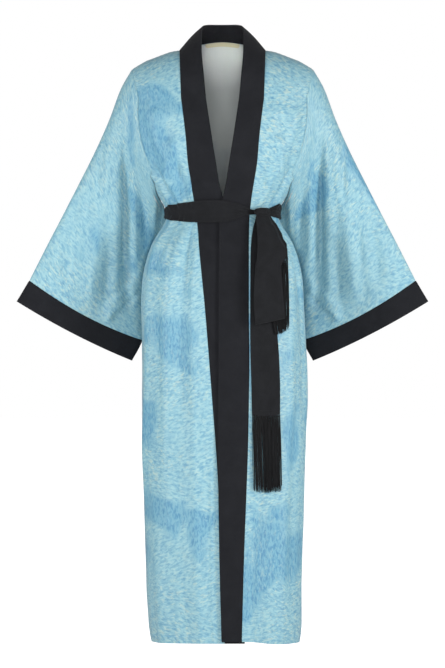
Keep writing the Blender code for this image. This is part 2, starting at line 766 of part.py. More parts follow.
def finish_material(finish):
    material = bpy.data.materials.get(finish)
    if material is None:
        colour, roughness, metallic = FINISHES[finish]
        material = bpy.data.materials.new(finish)
        material.use_nodes = True
        shader = material.node_tree.nodes["Principled BSDF"]
        shader.inputs["Base Color"].default_value = colour
        shader.inputs["Roughness"].default_value = roughness
        shader.inputs["Metallic"].default_value = metallic
        material.diffuse_color = colour
    return material


def add_solid(name, points, faces, finish):
    """A smooth closed mesh object from points in millimetres."""
    mesh = bpy.data.meshes.new(name)
    mesh.from_pydata((np.asarray(points).reshape(-1, 3) * MM).tolist(), [], faces)
    build = bmesh.new()
    build.from_mesh(mesh)
    bmesh.ops.recalc_face_normals(build, faces=build.faces)
    build.to_mesh(mesh)
    build.free()
    mesh.shade_smooth()
    mesh.set_sharp_from_angle(angle=np.radians(SHARP_ANGLE))
    mesh.materials.append(finish_material(finish))
    solid = bpy.data.objects.new(name, mesh)
    bpy.context.scene.collection.objects.link(solid)
    return solid


def rim_faces(rim, outer, inner):
    """The faces of one rim, each square split along its shorter diagonal, so that seams match."""
    below = len(outer)
    faces = []
    for start, end in zip(rim[:-1], rim[1:]):
        if np.linalg.norm(outer[start] - inner[end]) < np.linalg.norm(outer[end] - inner[start]):
            faces += [(start, end, end + below), (start, end + below, start + below)]
        else:
            faces += [(start, end, start + below), (end, end + below, start + below)]
    return faces


def wall(sheet):
    """The closed solid of a sheet: its outer points, its inner points and the rims that join them."""
    rows, columns = sheet.points.shape[:2]
    inner = sheet.points - sheet.thickness * sheet.normals
    number = np.arange(rows * columns).reshape(rows, columns)
    if sheet.around:
        number = np.concatenate([number, number[:, :1]], axis=1)
    below = rows * columns
    a, b = number[:-1, :-1].ravel(), number[:-1, 1:].ravel()
    c, d = number[1:, 1:].ravel(), number[1:, :-1].ravel()
    faces = []
    for corner_a, corner_b, corner_c, corner_d in zip(a, b, c, d):
        faces += [(corner_a, corner_b, corner_c), (corner_a, corner_c, corner_d)]
        low = [corner + below for corner in (corner_a, corner_b, corner_c, corner_d)]
        faces += [(low[0], low[2], low[1]), (low[0], low[3], low[2])]
    rims = [number[0], number[-1]]
    if not sheet.around:
        rims += [number[:, 0], number[:, -1]]
    for rim in rims:
        faces += rim_faces(rim, sheet.points.reshape(-1, 3), inner.reshape(-1, 3))
    faces = [tuple(int(corner) for corner in face) for face in faces]
    return add_solid(sheet.name, [sheet.points, inner], faces, sheet.finish)


def add_knot():
    points = knot()
    rows, columns = points.shape[:2]
    ring = points[1:-1].reshape(-1, 3)
    poles = np.array([points[0].mean(axis=0), points[-1].mean(axis=0)])
    faces = []
    for row in range(rows - 3):
        for column in range(columns):
            following = (column + 1) % columns
            low, high = row * columns, (row + 1) * columns
            faces.append((low + column, low + following, high + following, high + column))
    last = (rows - 3) * columns
    bottom, top = rows * columns - 2 * columns, rows * columns - 2 * columns + 1
    for column in range(columns):
        following = (column + 1) % columns
        faces.append((bottom, column, following))
        faces.append((top, last + column, last + following))
    return add_solid("belt_knot", np.concatenate([ring, poles]), faces, "black_crepe")


def add_fringe(name, strip, drop, out, seed):
    """A header strip just below a tail's edge, with a four-sided strand hanging from each of its cells.

    The strands follow the robe's front as they hang, out from it by the given distance.
    """
    random = np.random.default_rng(seed)
    place = np.linspace(0.0, STRIP_COLUMNS, FRINGE_STRANDS + 1)
    columns = np.arange(STRIP_COLUMNS + 1)
    header = np.stack([np.interp(place, columns, strip[-1, :, axis]) for axis in range(3)], axis=-1)
    header[:, 2] -= FRINGE_GAP
    normals = np.cross(np.gradient(header, axis=0), [0.0, 0.0, 1.0])
    normals = normals / np.linalg.norm(normals, axis=1, keepdims=True)
    normals = normals * -np.sign(normals[:, 1:2])
    deep = header - FRINGE_DEPTH * normals
    down = np.array([0.0, 0.0, -FRINGE_HEADER])
    points = [*header, *deep, *(header + down), *(deep + down)]
    count = len(header)
    faces = []
    for left in range(count - 1):
        right = left + 1
        faces.append((left, right, right + count, left + count))
        faces.append((left, left + 2 * count, right + 2 * count, right))
        faces.append((left + count, right + count, right + 3 * count, left + 3 * count))
    for end in (0, count - 1):
        faces.append((end, end + count, end + 3 * count, end + 2 * count))
    sway = np.cumsum(random.normal(0.0, FRINGE_SWAY, count))
    sway = sway - np.linspace(sway[0], sway[-1], count)
    for cell in range(count - 1):
        corners = [cell + 2 * count, cell + 1 + 2 * count, cell + 1 + 3 * count, cell + 3 * count]
        root = np.array([points[corner] for corner in corners])
        middle = root.mean(axis=0)
        length = drop * random.uniform(*STRAND_LENGTHS)
        around = corners
        for station in STRAND_STATIONS:
            hung = over_front(middle[0] + sway[cell] * station, middle[2] - length * station, out)
            hung = middle + (hung - middle) * np.array([1.0, smooth_step(4.0 * station), 1.0])
            ring = [len(points) + corner for corner in range(4)]
            points.extend(hung + (root - middle) * STRAND_SHARE * (1.0 - STRAND_TAPER * station))
            for corner in range(4):
                following = (corner + 1) % 4
                faces.append((around[corner], around[following], ring[following], ring[corner]))
            around = ring
        faces.append(tuple(around))
    return add_solid(name, np.array(points), faces, "black_fringe")


def axis_of(points):
    """The points of the robe's upright axis level with these."""
    return points * np.array([0.0, 0.0, 1.0])


def middle_of(points):
    """The middle of each section of a tube."""
    return points.mean(axis=1, keepdims=True)


def clear_scene():
    for thing in list(bpy.data.objects):
        bpy.data.objects.remove(thing, do_unlink=True)


def make_robe():
    """Every piece that is cut and sewn, and the belt."""
    clear_scene()
    front_left = front_panel(1, "upper")
    front_right = front_panel(-1, "under")
    back = back_panel()
    loops = {1: armhole_loop(1, front_left, back), -1: armhole_loop(-1, front_right, back)}
    sleeves = {side: sleeve_sections(side, loops[side], SLEEVE_PARTS) for side in loops}
    cuffs = {side: sleeve_sections(side, loops[side], CUFF_PARTS) for side in loops}

    sewn = [
        Sheet("back_panel", back, PANEL_WALL, "blue_satin", axis_of(back)),
        Sheet("front_left_panel", front_left, PANEL_WALL, "blue_satin", axis_of(front_left)),
        Sheet("front_right_panel", front_right, PANEL_WALL, "blue_satin", axis_of(front_right)),
    ]
    for word, side in (("left", 1), ("right", -1)):
        sleeve, cuff = sleeves[side], cuffs[side]
        sewn.append(Sheet(f"sleeve_{word}", sleeve, PANEL_WALL, "blue_satin", middle_of(sleeve), around=True))
        sewn.append(Sheet(f"cuff_{word}", cuff, BAND_WALL, "black_crepe", middle_of(cuff), around=True))
    left_band, right_band = neckband(1, front_left, "upper"), neckband(-1, front_right, "under")
    shoulder = -NECK_COLUMNS - 1
    bands = {
        "left": left_band[: shoulder + 1],
        "right": right_band[: shoulder + 1],
        "back": np.concatenate([right_band[shoulder:], left_band[-2 : shoulder - 1 : -1]]),
    }
    for word, band in bands.items():
        sewn.append(Sheet(f"neckband_{word}", band, BAND_WALL, "black_crepe", axis_of(band)))
    share_seam_normals(sewn)
    for sheet in sewn:
        inset_edges(sheet, SEAM_INSET)

    tag = label_face(sewn[0])
    tag_sheet = Sheet("neck_label", tag, LABEL_WALL, "tan_label", axis_of(tag))

    belt = belt_round()
    long_tail = tail(LONG_TAIL, LONG_TAIL_ROWS, 0.0)
    short_tail = tail(SHORT_TAIL, SHORT_TAIL_ROWS, SHORT_TAIL_SLANT)
    loop = belt_loop()
    hanging = [
        Sheet("belt_waist", belt, BELT_WALL, "black_crepe", axis_of(belt), around=True),
        Sheet("belt_tail_long", long_tail, BELT_WALL, "black_crepe", axis_of(long_tail)),
        Sheet("belt_tail_short", short_tail, BELT_WALL, "black_crepe", axis_of(short_tail)),
        Sheet("belt_loop", loop, BELT_WALL, "black_crepe", loop.mean(axis=(0, 1))),
    ]
    for sheet in [*sewn, tag_sheet, *hanging]:
        wall(sheet)
    add_knot()
    add_fringe("fringe_long", long_tail, LONG_FRINGE_DROP, LONG_FRINGE_OUT, seed=3)
    add_fringe("fringe_short", short_tail, SHORT_FRINGE_DROP, SHORT_FRINGE_OUT, seed=5)


make_robe()
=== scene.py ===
# %% [markdown]
# # A kimono robe, filled out as worn, with its belt tied
#
# A kimono robe is cut from straight lengths of cloth: a back, two fronts, two wide sleeves with cuff bands,
# and one long band that runs up one front, round the neck and down the other. A sash ties it at the waist.
#
# Two common ways to make one are to simulate cloth over a figure, or to sculpt it by hand. This lesson takes
# a third way: each cut piece is a grid of points that short tables of sizes work out, so that every edge that
# is sewn to another gets the same points. First comes the frame, the plain solids that this cloth dresses.

# %% Load the frame
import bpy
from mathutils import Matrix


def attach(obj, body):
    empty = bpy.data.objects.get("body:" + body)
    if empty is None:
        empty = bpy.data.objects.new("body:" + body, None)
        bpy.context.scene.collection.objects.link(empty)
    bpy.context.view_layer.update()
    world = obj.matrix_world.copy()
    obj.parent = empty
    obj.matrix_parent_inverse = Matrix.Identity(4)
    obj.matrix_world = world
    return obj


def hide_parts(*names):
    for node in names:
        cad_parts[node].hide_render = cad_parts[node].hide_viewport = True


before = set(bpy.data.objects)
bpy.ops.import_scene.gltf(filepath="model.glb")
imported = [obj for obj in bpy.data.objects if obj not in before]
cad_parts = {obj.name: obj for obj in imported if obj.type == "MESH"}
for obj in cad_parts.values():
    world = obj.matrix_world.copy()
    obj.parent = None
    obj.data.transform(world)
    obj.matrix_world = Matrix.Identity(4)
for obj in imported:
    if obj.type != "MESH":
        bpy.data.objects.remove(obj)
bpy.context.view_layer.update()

import bmesh
import bpy
import numpy as np
from mathutils import Vector

# The sizes below are millimetres and angles are degrees, and MM turns the lengths into Blender's metres
MM = 0.001

# %% [markdown]
# ## The camera
#
# A garment photograph is taken from far away with a long lens, so that the robe looks the same size from neck
# to hem. One pixel of the picture covers PIXEL millimetres of the robe at its side seams. From that and the
# distance comes the lens.

# %% Set up the camera
PIXEL = 2.25
PICTURE = (445, 668)
CAMERA_AWAY = 20000.0
CAMERA_HEIGHT = -639.0
SENSOR = 36.0

camera_data = bpy.data.cameras.new("camera")
camera_data.sensor_width = SENSOR
camera_data.lens = SENSOR * CAMERA_AWAY / (PICTURE[1] * PIXEL)
camera_data.clip_end = 100.0
camera = bpy.data.objects.new("camera", camera_data)
camera.location = (0.0, -CAMERA_AWAY * MM, CAMERA_HEIGHT * MM)
camera.rotation_euler = (np.radians(90.0), 0.0, 0.0)
bpy.context.scene.collection.objects.link(camera)
bpy.context.scene.camera = camera
print("lens:", round(camera_data.lens), "mm")

# %% [markdown]
# ## The studio
#
# The robe hangs over a plain white floor, in a white room. A soft lamp stands in front, level with the chest.
# Two stronger ones at the sides rake across the folds and leave the open neck in shade. A small narrow lamp
# in front, a little above the robe, lights the top of the neck's pale inside, which would else be lost in
# shade. The white of the room is what the camera sees, and it lights the cloth less than it shines, as a
# backdrop far behind would.

# %% Build the studio
FLOOR_HEIGHT = -1400.0
FLOOR_SIZE = 120000.0
FLOOR_GREY = (0.86, 0.86, 0.86, 1.0)
FLOOR_GLOW = 1.0
ROOM_LIGHT = 0.28
WHITE = (1.0, 1.0, 1.0, 1.0)
LAMPS = [
    # name, place (m), height it aims at (m), size (m), power (W), spread of its light (degrees)
    ("front_lamp", (-0.1, -3.6, -0.3), -0.64, (1.4, 1.0), 50.0, 180.0),
    ("left_lamp", (-3.0, -2.0, -0.1), -0.64, (1.0, 2.0), 68.0, 180.0),
    ("right_lamp", (3.0, -2.0, -0.2), -0.64, (1.0, 2.0), 86.0, 180.0),
    ("neck_lamp", (-0.02, -0.8, 0.45), 0.08, (0.1, 0.1), 0.04, 9.0),
]


def seen_or_lighting(tree, seen, lighting):
    """One number where the camera looks straight at a surface, and another where the surface only lights."""
    path = tree.nodes.new("ShaderNodeLightPath")
    pick = tree.nodes.new("ShaderNodeMix")
    pick.inputs["A"].default_value = lighting
    pick.inputs["B"].default_value = seen
    tree.links.new(path.outputs["Is Camera Ray"], pick.inputs["Factor"])
    return pick.outputs["Result"]


def white_room():
    world = bpy.data.worlds.new("white_room")
    bpy.context.scene.world = world
    world.use_nodes = True
    tree = world.node_tree
    background = tree.nodes["Background"]
    background.inputs["Color"].default_value = WHITE
    tree.links.new(seen_or_lighting(tree, 1.0, ROOM_LIGHT), background.inputs["Strength"])


def white_floor():
    mesh = bpy.data.meshes.new("floor")
    half = FLOOR_SIZE / 2.0
    corners = np.array([(-half, -half, 0.0), (half, -half, 0.0), (half, half, 0.0), (-half, half, 0.0)])
    mesh.from_pydata(((corners + (0.0, 0.0, FLOOR_HEIGHT)) * MM).tolist(), [], [(0, 1, 2, 3)])
    material = bpy.data.materials.new("floor")
    material.use_nodes = True
    tree = material.node_tree
    shader = tree.nodes["Principled BSDF"]
    shader.inputs["Base Color"].default_value = FLOOR_GREY
    shader.inputs["Roughness"].default_value = 1.0
    shader.inputs["Specular IOR Level"].default_value = 0.0
    shader.inputs["Emission Color"].default_value = WHITE
    tree.links.new(seen_or_lighting(tree, FLOOR_GLOW, 0.0), shader.inputs["Emission Strength"])
    mesh.materials.append(material)
    floor = bpy.data.objects.new("floor", mesh)
    bpy.context.scene.collection.objects.link(floor)


def soft_lamps():
    for name, place, aim_height, size, power, spread in LAMPS:
        lamp = bpy.data.lights.new(name, "AREA")
        lamp.shape = "RECTANGLE"
        lamp.size, lamp.size_y = size
        lamp.energy = power
        lamp.spread = np.radians(spread)
        holder = bpy.data.objects.new(name, lamp)
        holder.location = place
        aim = Vector((0.0, 0.0, aim_height)) - Vector(place)
        holder.rotation_euler = aim.to_track_quat("-Z", "Y").to_euler()
        bpy.context.scene.collection.objects.link(holder)


white_room()
white_floor()
soft_lamps()
bpy.context.scene.view_settings.view_transform = "Standard"
print("studio:", len(LAMPS), "lamps")

# %% [markdown]
# ## Tables of sizes
#
# A pattern maker writes a garment down as sizes at named heights. Each table here has named columns and a row
# for each place that matters, and a smooth curve reads it anywhere between. A spline could swing past the
# rows, which would put bulges into the cloth, so the curve's slopes are held back where the rows turn.

# %% Read a table smoothly
def smooth_step(value):
    """0 below 0, 1 above 1, and an even rise between."""
    t = np.clip(value, 0.0, 1.0)
    return t * t * (3.0 - 2.0 * t)


def smooth_between(where, keys, values):
    """A cubic through the rows of a table that never swings past them."""
    steps = np.diff(keys)
    slopes = np.diff(values) / steps
    tangents = np.concatenate([slopes[:1], np.zeros(len(slopes) - 1), slopes[-1:]])
    turning = slopes[:-1] * slopes[1:] > 0.0
    before, after = slopes[:-1][turning], slopes[1:][turning]
    tangents[1:-1][turning] = 2.0 * before * after / (before + after)
    where = np.clip(where, keys[0], keys[-1])
    row = np.clip(np.searchsorted(keys, where) - 1, 0, len(steps) - 1)
    t = (where - keys[row]) / steps[row]
    rise = values[row] * (1.0 + 2.0 * t) * (1.0 - t) ** 2 + values[row + 1] * (3.0 - 2.0 * t) * t**2
    bend = steps[row] * (tangents[row] * t * (1.0 - t) ** 2 - tangents[row + 1] * (1.0 - t) * t**2)
    return rise + bend


class Table:
    """Sizes in named columns, read at any place along the first one."""

    def __init__(self, columns, rows):
        self.columns = columns.split()
        self.rows = np.array(sorted(rows), float)

    def at(self, column, where):
        values = self.rows[:, self.columns.index(column)]
        return smooth_between(np.asarray(where, float), self.rows[:, 0], values)

    def point(self, where):
        return np.stack([self.at(axis, where) for axis in "xyz"], axis=-1)

# %% Sizes of the body of the robe
UNDERARM = -335.0
HEM_LEVEL = -1331.0
HEM_START = -1210.0
SIDE_SEAM = 95.0

# The robe's outside at each height: half its width, how far its middle stands to the wearer's left, its
# depth before and behind the side line, and the power of the rounded rectangle that joins them
BODY = Table("height half_width shift front back power", [
    (-110, 212, 0, 101, 99, 2.3),
    (-150, 211, 0, 113, 104, 2.3),
    (-200, 204, 0, 117, 105, 2.3),
    (-262, 184, 0, 110, 100, 2.3),
    (-310, 156, 0, 101, 95, 2.25),
    (-335, 141, 0, 97, 92, 2.2),
    (-352, 131, 0, 94, 90, 2.2),
    (-366, 127, 0, 92, 89, 2.2),
    (-380, 128, 0, 94, 91, 2.2),
    (-394, 133, 0, 97, 95, 2.2),
    (-416, 147, 0, 103, 103, 2.25),
    (-440, 160, 0, 110, 111, 2.3),
    (-472, 171, 0, 117, 120, 2.3),
    (-517, 180, 0, 123, 127, 2.3),
    (-563, 183, 0, 126, 131, 2.3),
    (-650, 185, 3, 127, 132, 2.3),
    (-787, 186, 5, 126, 131, 2.3),
    (-877, 184, 3, 125, 129, 2.3),
    (-1012, 180, 3, 123, 127, 2.3),
    (-1192, 175, 3, 121, 125, 2.3),
    (-1290, 172, 6, 120, 124, 2.3),
    (-1336, 165, 7, 119, 123, 2.3),
])

# The shoulder line, from the side of the neck to the top of the armhole
SHOULDER = Table(
    "x height",
    [(97, -1), (115, -4), (136, -11), (154, -18), (170, -24), (188, -34), (204, -44)],
)

# How a front and the back curve from the shoulder to the chest's top: a power, and how far round they turn
FRONT_YOKE = 2.0
FRONT_TURN = 70.0
BACK_TURN = 82.0

BACK_YOKE = Table(
    "share power",
    [(0, 1.6), (0.25, 1.6), (0.38, 1.85), (0.51, 2.2), (0.64, 2.8), (0.75, 2.7), (1, 2.1)],
)

# The armhole below the shoulder, as angles round the body from the middle of the front
ARMHOLE = Table(
    "height front back",
    [(-110, 74, 107), (-200, 72, 108), (-262, 71, 109), (-298, 76, 106), (-320, 84, 101), (-335, 95, 95)],
)

# The hem's height at each angle, on the upper front, on the under front, and on the back
HEM = Table("angle upper under back", [
    (-180, -1331, -1331, -1332),
    (-95, -1329, -1329, -1329),
    (-60, -1329, -1332, -1331),
    (0, -1328, -1332, -1332),
    (22, -1328, -1332, -1332),
    (52, -1334, -1332, -1331),
    (80, -1332, -1331, -1330),
    (95, -1329, -1329, -1329),
    (180, -1331, -1331, -1332),
])

# %% Sizes of the neckband
# The neckband on the body: where its seam and its free edge stand, on the upper and the under front
NECKBAND = Table("height upper_seam upper_edge under_seam under_edge", [
    (-110, 93, 37, -93, -37),
    (-157, 87, 30, -87, -30),
    (-202, 82, 23, -82, -23),
    (-252, 78, 15, -78, -15),
    (-297, 71, 8, -71, -8),
    (-335, 65, 0, -65, 1),
    (-387, 60, -7, -57, 9),
    (-450, 59, -8, -52, 14),
    (-585, 59, -9, -39, 27),
    (-695, 60, -9, -30, 36),
    (-787, 59, -10, -23, 42),
    (-891, 57, -11, -15, 47),
    (-1008, 53, -9, -8, 49),
    (-1141, 48, -7, -2, 50),
    (-1336, 43, -2, 5, 50),
])

# The seam of the back neck, from the side of the neck (0) to the middle of the back (1), and a row past it so
# that the curve crosses the middle squarely
NECK_SEAM = Table("part x y z", [
    (0, 97, 0, -1),
    (0.25, 94, 30, 1),
    (0.5, 82, 55, 6),
    (0.75, 50, 76, 15),
    (1, 0, 86, 21),
    (1.25, -50, 76, 15),
])

# The neckband's free edge above the chest: 0 at the chest's top, 1 over the shoulder, 2 at the back's middle,
# and a row past it
NECK_EDGE = Table("part x y z", [
    (0, 37, -100, -110),
    (0.35, 42, -94, -58),
    (0.7, 47, -62, 2),
    (1, 47, -18, 38),
    (1.3, 43, 18, 55),
    (1.65, 26, 41, 58),
    (2, 0, 48, 58),
    (2.35, -26, 41, 58),
])

# The crown's height, and how much of half the back's upper edge belongs to the neck
NECKBAND_CROWN = 3.0
NECK_SHARE = 0.64

# %% Sizes of the sleeves
# The sleeve from the armhole (0) to the seam of the cuff (1) and the cuff's end (2): its upper fold, its
# lower fold, how far its two walls stand from the middle between them, and how far they sag towards the hand
SLEEVE = Table("part top_x top_y top_z low_x low_y low_z depth sag", [
    (0, 204, 0, -44, 141, 12, -335, 66, 0),
    (0.08, 228, 1, -86, 136, 27, -352, 60, 0),
    (0.2, 254, 2, -155, 127, 47, -380, 51, 0),
    (0.35, 287, 4, -230, 141, 66, -426, 43, 0),
    (0.5, 323, 6, -302, 150, 80, -478, 38, 0),
    (0.65, 356, 8, -366, 159, 87, -532, 34, 2),
    (0.8, 391, 10, -433, 169, 89, -587, 31, 6),
    (1, 435, 12, -519, 181, 88, -653, 27, 12),
    (2, 463, 14, -566, 205, 86, -699, 28, 6),
])

# How much thinner a sleeve is at its lower fold, how far the armhole's shape reaches along it, and the short
# step over which its direction is read
SLEEVE_TAPER = 0.45
ARMHOLE_REACH = 0.4
RUN_STEP = 0.05

# %% [markdown]
# ## Folds
#
# Where the cloth hangs free it falls in soft folds, and where the belt draws it in it gathers. A cloth
# simulation finds folds of its own, which never lie where they do on the real robe. So each fold here is a
# row in a table: a line from one place to another, how far it stands out or sinks in, and how wide it is. The
# first table of each kind holds the large folds, which the plain solids have too, and this thin cloth folds
# them a little deeper. The second holds finer creases.

# %% Large folds of the body and the sleeves
# Soft folds of the body, each from one angle and height to another: positive ones stand out. A fold that
# leaves the hem ends below it
BODY_FOLDS = Table("number angle_top height_top angle_low height_low relief width", [
    (1, -50, -388, -63, -1500, 4.0, 6.0),
    (2, -36, -388, -40, -900, -4.0, 5.0),
    (3, -66, -386, -82, -1100, 3.5, 5.0),
    (4, -30, -560, -24, -1600, 3.5, 6.0),
    (5, 63, -386, 56, -1500, 4.0, 6.0),
    (6, 76, -388, 74, -900, -3.0, 5.0),
    (7, 42, -700, 37, -1600, -4.5, 5.0),
    (8, 132, -390, 124, -1500, 4.0, 6.0),
    (9, 150, -390, 146, -1000, -4.0, 6.0),
    (10, 166, -390, 163, -1600, 5.0, 7.0),
    (11, -172, -390, -178, -1200, -4.0, 6.0),
    (12, -158, -390, -160, -1600, 4.5, 7.0),
    (13, -140, -390, -133, -1100, -4.0, 6.0),
    (14, -122, -390, -116, -1500, 4.0, 6.0),
    (15, -48, -200, -58, -340, 4.0, 5.0),
    (16, -62, -225, -76, -342, -4.0, 5.0),
    (17, 52, -190, 60, -340, 4.0, 5.0),
    (18, 64, -230, 76, -342, -4.0, 5.0),
    (19, 150, -200, 140, -340, 4.0, 6.0),
    (20, 172, -220, 166, -340, -3.5, 6.0),
    (21, -164, -200, -158, -340, 4.0, 6.0),
    (22, -142, -220, -136, -340, -3.5, 6.0),
])

# The shares of a fold's length over which it rises and falls, and how fast a sleeve's folds end
FOLD_RISE = 0.12
FOLD_FALL = 0.3
FOLD_END = 4.0

# Soft folds of each sleeve as seen from in front, on its front wall (side 1) or its back wall (side -1)
SLEEVE_FOLDS = Table("number from_x from_z to_x to_z relief width side", [
    (1, 212, -250, 216, -580, -7.0, 13.0, 1),
    (2, 190, -545, 262, -606, 6.0, 11.0, 1),
    (3, 262, -210, 300, -560, 5.0, 16.0, 1),
    (4, 330, -330, 352, -520, -4.0, 14.0, 1),
    (5, 222, -180, 232, -600, -7.0, 15.0, -1),
    (6, 276, -260, 300, -580, 5.0, 16.0, -1),
    (7, 344, -360, 372, -540, -4.0, 14.0, -1),
])

# %% Finer creases of the body and the sleeves
BODY_CREASES = Table("number angle_top height_top angle_low height_low relief width", [
    (1, -37, -384, -33, -600, -3.6, 1.8),
    (2, -33, -384, -33, -470, 1.2, 1.4),
    (3, -56, -384, -75, -520, 2.0, 1.8),
    (4, -59, -384, -80, -500, -1.6, 1.6),
    (5, -46, -386, -50, -640, 1.0, 2.4),
    (6, -28, -384, -30, -620, 1.2, 2.2),
    (7, 70, -384, 68, -560, -1.4, 1.8),
    (8, 80, -384, 86, -520, 1.6, 2.2),
    (9, 58, -384, 54, -480, 1.2, 1.8),
    (10, 46, -600, 45, -900, 1.2, 2.6),
    (11, 33, -1080, 29, -1500, -4.2, 2.0),
    (12, -13, -900, -11, -1600, 2.6, 2.2),
    (13, -44, -880, -38, -1500, -1.6, 3.4),
    (14, -70, -800, -60, -1500, 1.8, 4.0),
    (15, 62, -820, 58, -1500, -1.8, 3.6),
    (16, 84, -640, 80, -1400, 1.6, 4.0),
    (17, -88, -560, -84, -1400, -1.6, 4.0),
    (18, 104, -390, 108, -760, 1.6, 2.4),
    (19, 118, -388, 116, -620, -1.6, 1.8),
    (20, 138, -388, 139, -700, 1.4, 2.0),
    (21, 158, -388, 157, -560, -1.5, 1.6),
    (22, 174, -388, 176, -760, 1.4, 2.0),
    (23, -166, -388, -168, -600, -1.5, 1.8),
    (24, -150, -388, -148, -680, 1.5, 2.0),
    (25, -130, -388, -127, -560, -1.5, 1.8),
    (26, -112, -388, -110, -720, 1.6, 2.2),
    (27, 146, -900, 142, -1600, -2.0, 4.0),
    (28, -176, -1000, -170, -1600, 2.2, 4.0),
    (29, -128, -900, -124, -1600, -2.0, 4.0),
    (30, -44, -262, -52, -352, -3.4, 1.8),
    (31, -54, -250, -66, -352, 2.6, 2.0),
    (32, -34, -280, -40, -352, 2.2, 1.6),
    (33, 44, -258, 52, -356, -3.2, 1.8),
    (34, 56, -246, 68, -354, 2.6, 2.0),
    (35, 72, -140, 60, -250, -1.6, 3.0),
    (36, -72, -140, -60, -250, -1.6, 3.0),
    (37, 66, -105, 66, -190, 1.4, 2.6),
    (38, -66, -105, -66, -190, 1.4, 2.6),
    (39, 120, -262, 128, -344, -1.5, 2.0),
    (40, 134, -250, 138, -344, 1.5, 2.2),
    (41, 162, -270, 158, -344, -1.2, 2.0),
    (42, -174, -262, -170, -344, 1.3, 2.2),
    (43, -150, -256, -148, -344, -1.4, 2.0),
    (44, -124, -250, -130, -344, 1.5, 2.2),
    (45, 112, -130, 122, -240, -1.8, 3.4),
    (46, -112, -130, -122, -240, -1.8, 3.4),
    (47, -68, -262, -57, -370, -8.0, 2.6),
    (48, -75, -270, -64, -370, 7.0, 2.6),
    (49, -61, -270, -51, -370, 5.0, 2.2),
    (50, -46, -250, -40, -370, -5.0, 2.0),
    (51, 70, -262, 60, -372, -7.0, 2.6),
    (52, 77, -270, 67, -372, 6.0, 2.6),
    (53, 55, -262, 47, -372, 5.0, 2.4),
    (54, -62, -366, -76, -500, 6.0, 2.4),
    (55, 68, -366, 80, -600, -7.0, 2.8),
    (56, 60, -366, 68, -540, 5.0, 2.6),
    (57, -50, -366, -55, -520, -4.0, 1.8),
    (58, 48, -1000, 45, -1500, -3.0, 3.0),
    (59, -52, -150, -50, -300, -3.0, 3.4),
    (60, 54, -140, 50, -300, -3.0, 3.4),
    (61, -62, -130, -58, -260, 2.6, 3.4),
    (62, 64, -130, 60, -260, 2.6, 3.4),
    (63, -60, -560, -56, -1300, -3.2, 4.0),
    (64, 66, -600, 63, -1300, -3.2, 4.0),
    (65, -56, -366, -68, -520, -5.0, 2.2),
])
SLEEVE_CREASES = Table("number from_x from_z to_x to_z relief width side", [
    (1, 262, -165, 280, -350, -5.0, 7.0, 1),
    (2, 246, -150, 262, -330, 2.0, 8.0, 1),
    (3, 196, -300, 190, -500, 1.6, 7.0, 1),
    (4, 172, -352, 176, -470, -1.6, 6.0, 1),
    (5, 232, -330, 240, -560, 2.2, 9.0, 1),
    (6, 300, -400, 322, -560, -1.8, 9.0, 1),
    (7, 372, -440, 398, -540, 1.6, 9.0, 1),
    (8, 182, -549, 243, -600, -2.2, 5.5, 1),
    (9, 214, -110, 222, -230, -4.0, 6.0, 1),
    (10, 252, -470, 268, -590, -1.4, 7.0, 1),
    (11, 250, -150, 270, -340, -2.4, 8.0, -1),
    (12, 190, -330, 188, -520, 1.8, 8.0, -1),
    (13, 300, -380, 322, -560, -2.0, 9.0, -1),
    (14, 250, -400, 262, -590, 2.0, 10.0, -1),
    (15, 372, -450, 400, -545, 1.6, 9.0, -1),
    (16, 212, -110, 220, -240, -2.4, 7.0, -1),
    (17, 196, -560, 262, -610, -2.0, 6.0, -1),
    (18, 221, -220, 219, -480, -11.0, 7.0, 1),
    (19, 184, -250, 176, -400, -4.0, 6.0, 1),
    (20, 203, -250, 200, -480, 5.0, 8.0, 1),
    (21, 274, -225, 272, -345, -6.0, 5.0, 1),
    (22, 240, -250, 246, -420, 4.0, 9.0, 1),
    (23, 258, -430, 262, -545, -3.0, 7.0, 1),
    (24, 186, -540, 248, -604, -8.0, 5.5, 1),
    (25, 198, -522, 262, -584, 6.0, 7.0, 1),
    (26, 300, -330, 312, -480, -3.0, 8.0, 1),
])

# The height of the cloth's slight unevenness, how much deeper its large folds are than those of the plain
# solids, and how wide a degree is on the front
RIPPLE = 0.45
DEEPER = 1.5
DEGREE = 2.6

# %% Add the folds up
def fold_heights(folds, angle, height):
    """How far these folds lift the cloth at this angle and height on the body."""
    total = np.zeros(np.broadcast(angle, height).shape)
    for _, angle_top, height_top, angle_low, height_low, relief, width in folds.rows:
        along = (height_top - height) / (height_top - height_low)
        middle = angle_top + (angle_low - angle_top) * np.clip(along, 0.0, 1.0)
        off = (angle - middle + 180.0) % 360.0 - 180.0
        ends = smooth_step(along / FOLD_RISE) * smooth_step((1.0 - along) / FOLD_FALL)
        total = total + relief * ends * np.exp(-((off / width) ** 2))
    return total


def ripple(across, down):
    """A slight unevenness that no cloth is without, from waves that never line up."""
    first = np.sin(across / 17.0 + 1.3 * np.sin(down / 61.0)) * np.sin(down / 43.0 + 0.7)
    second = np.sin(across / 8.3 - down / 37.0) * np.sin(down / 23.0 + across / 31.0)
    return RIPPLE * (first + 0.5 * second)


def body_relief(angle, height):
    """All that lifts the cloth of the body off its plain shape."""
    folds = DEEPER * fold_heights(BODY_FOLDS, angle, height) + fold_heights(BODY_CREASES, angle, height)
    return folds + ripple(DEGREE * np.abs(angle), height)


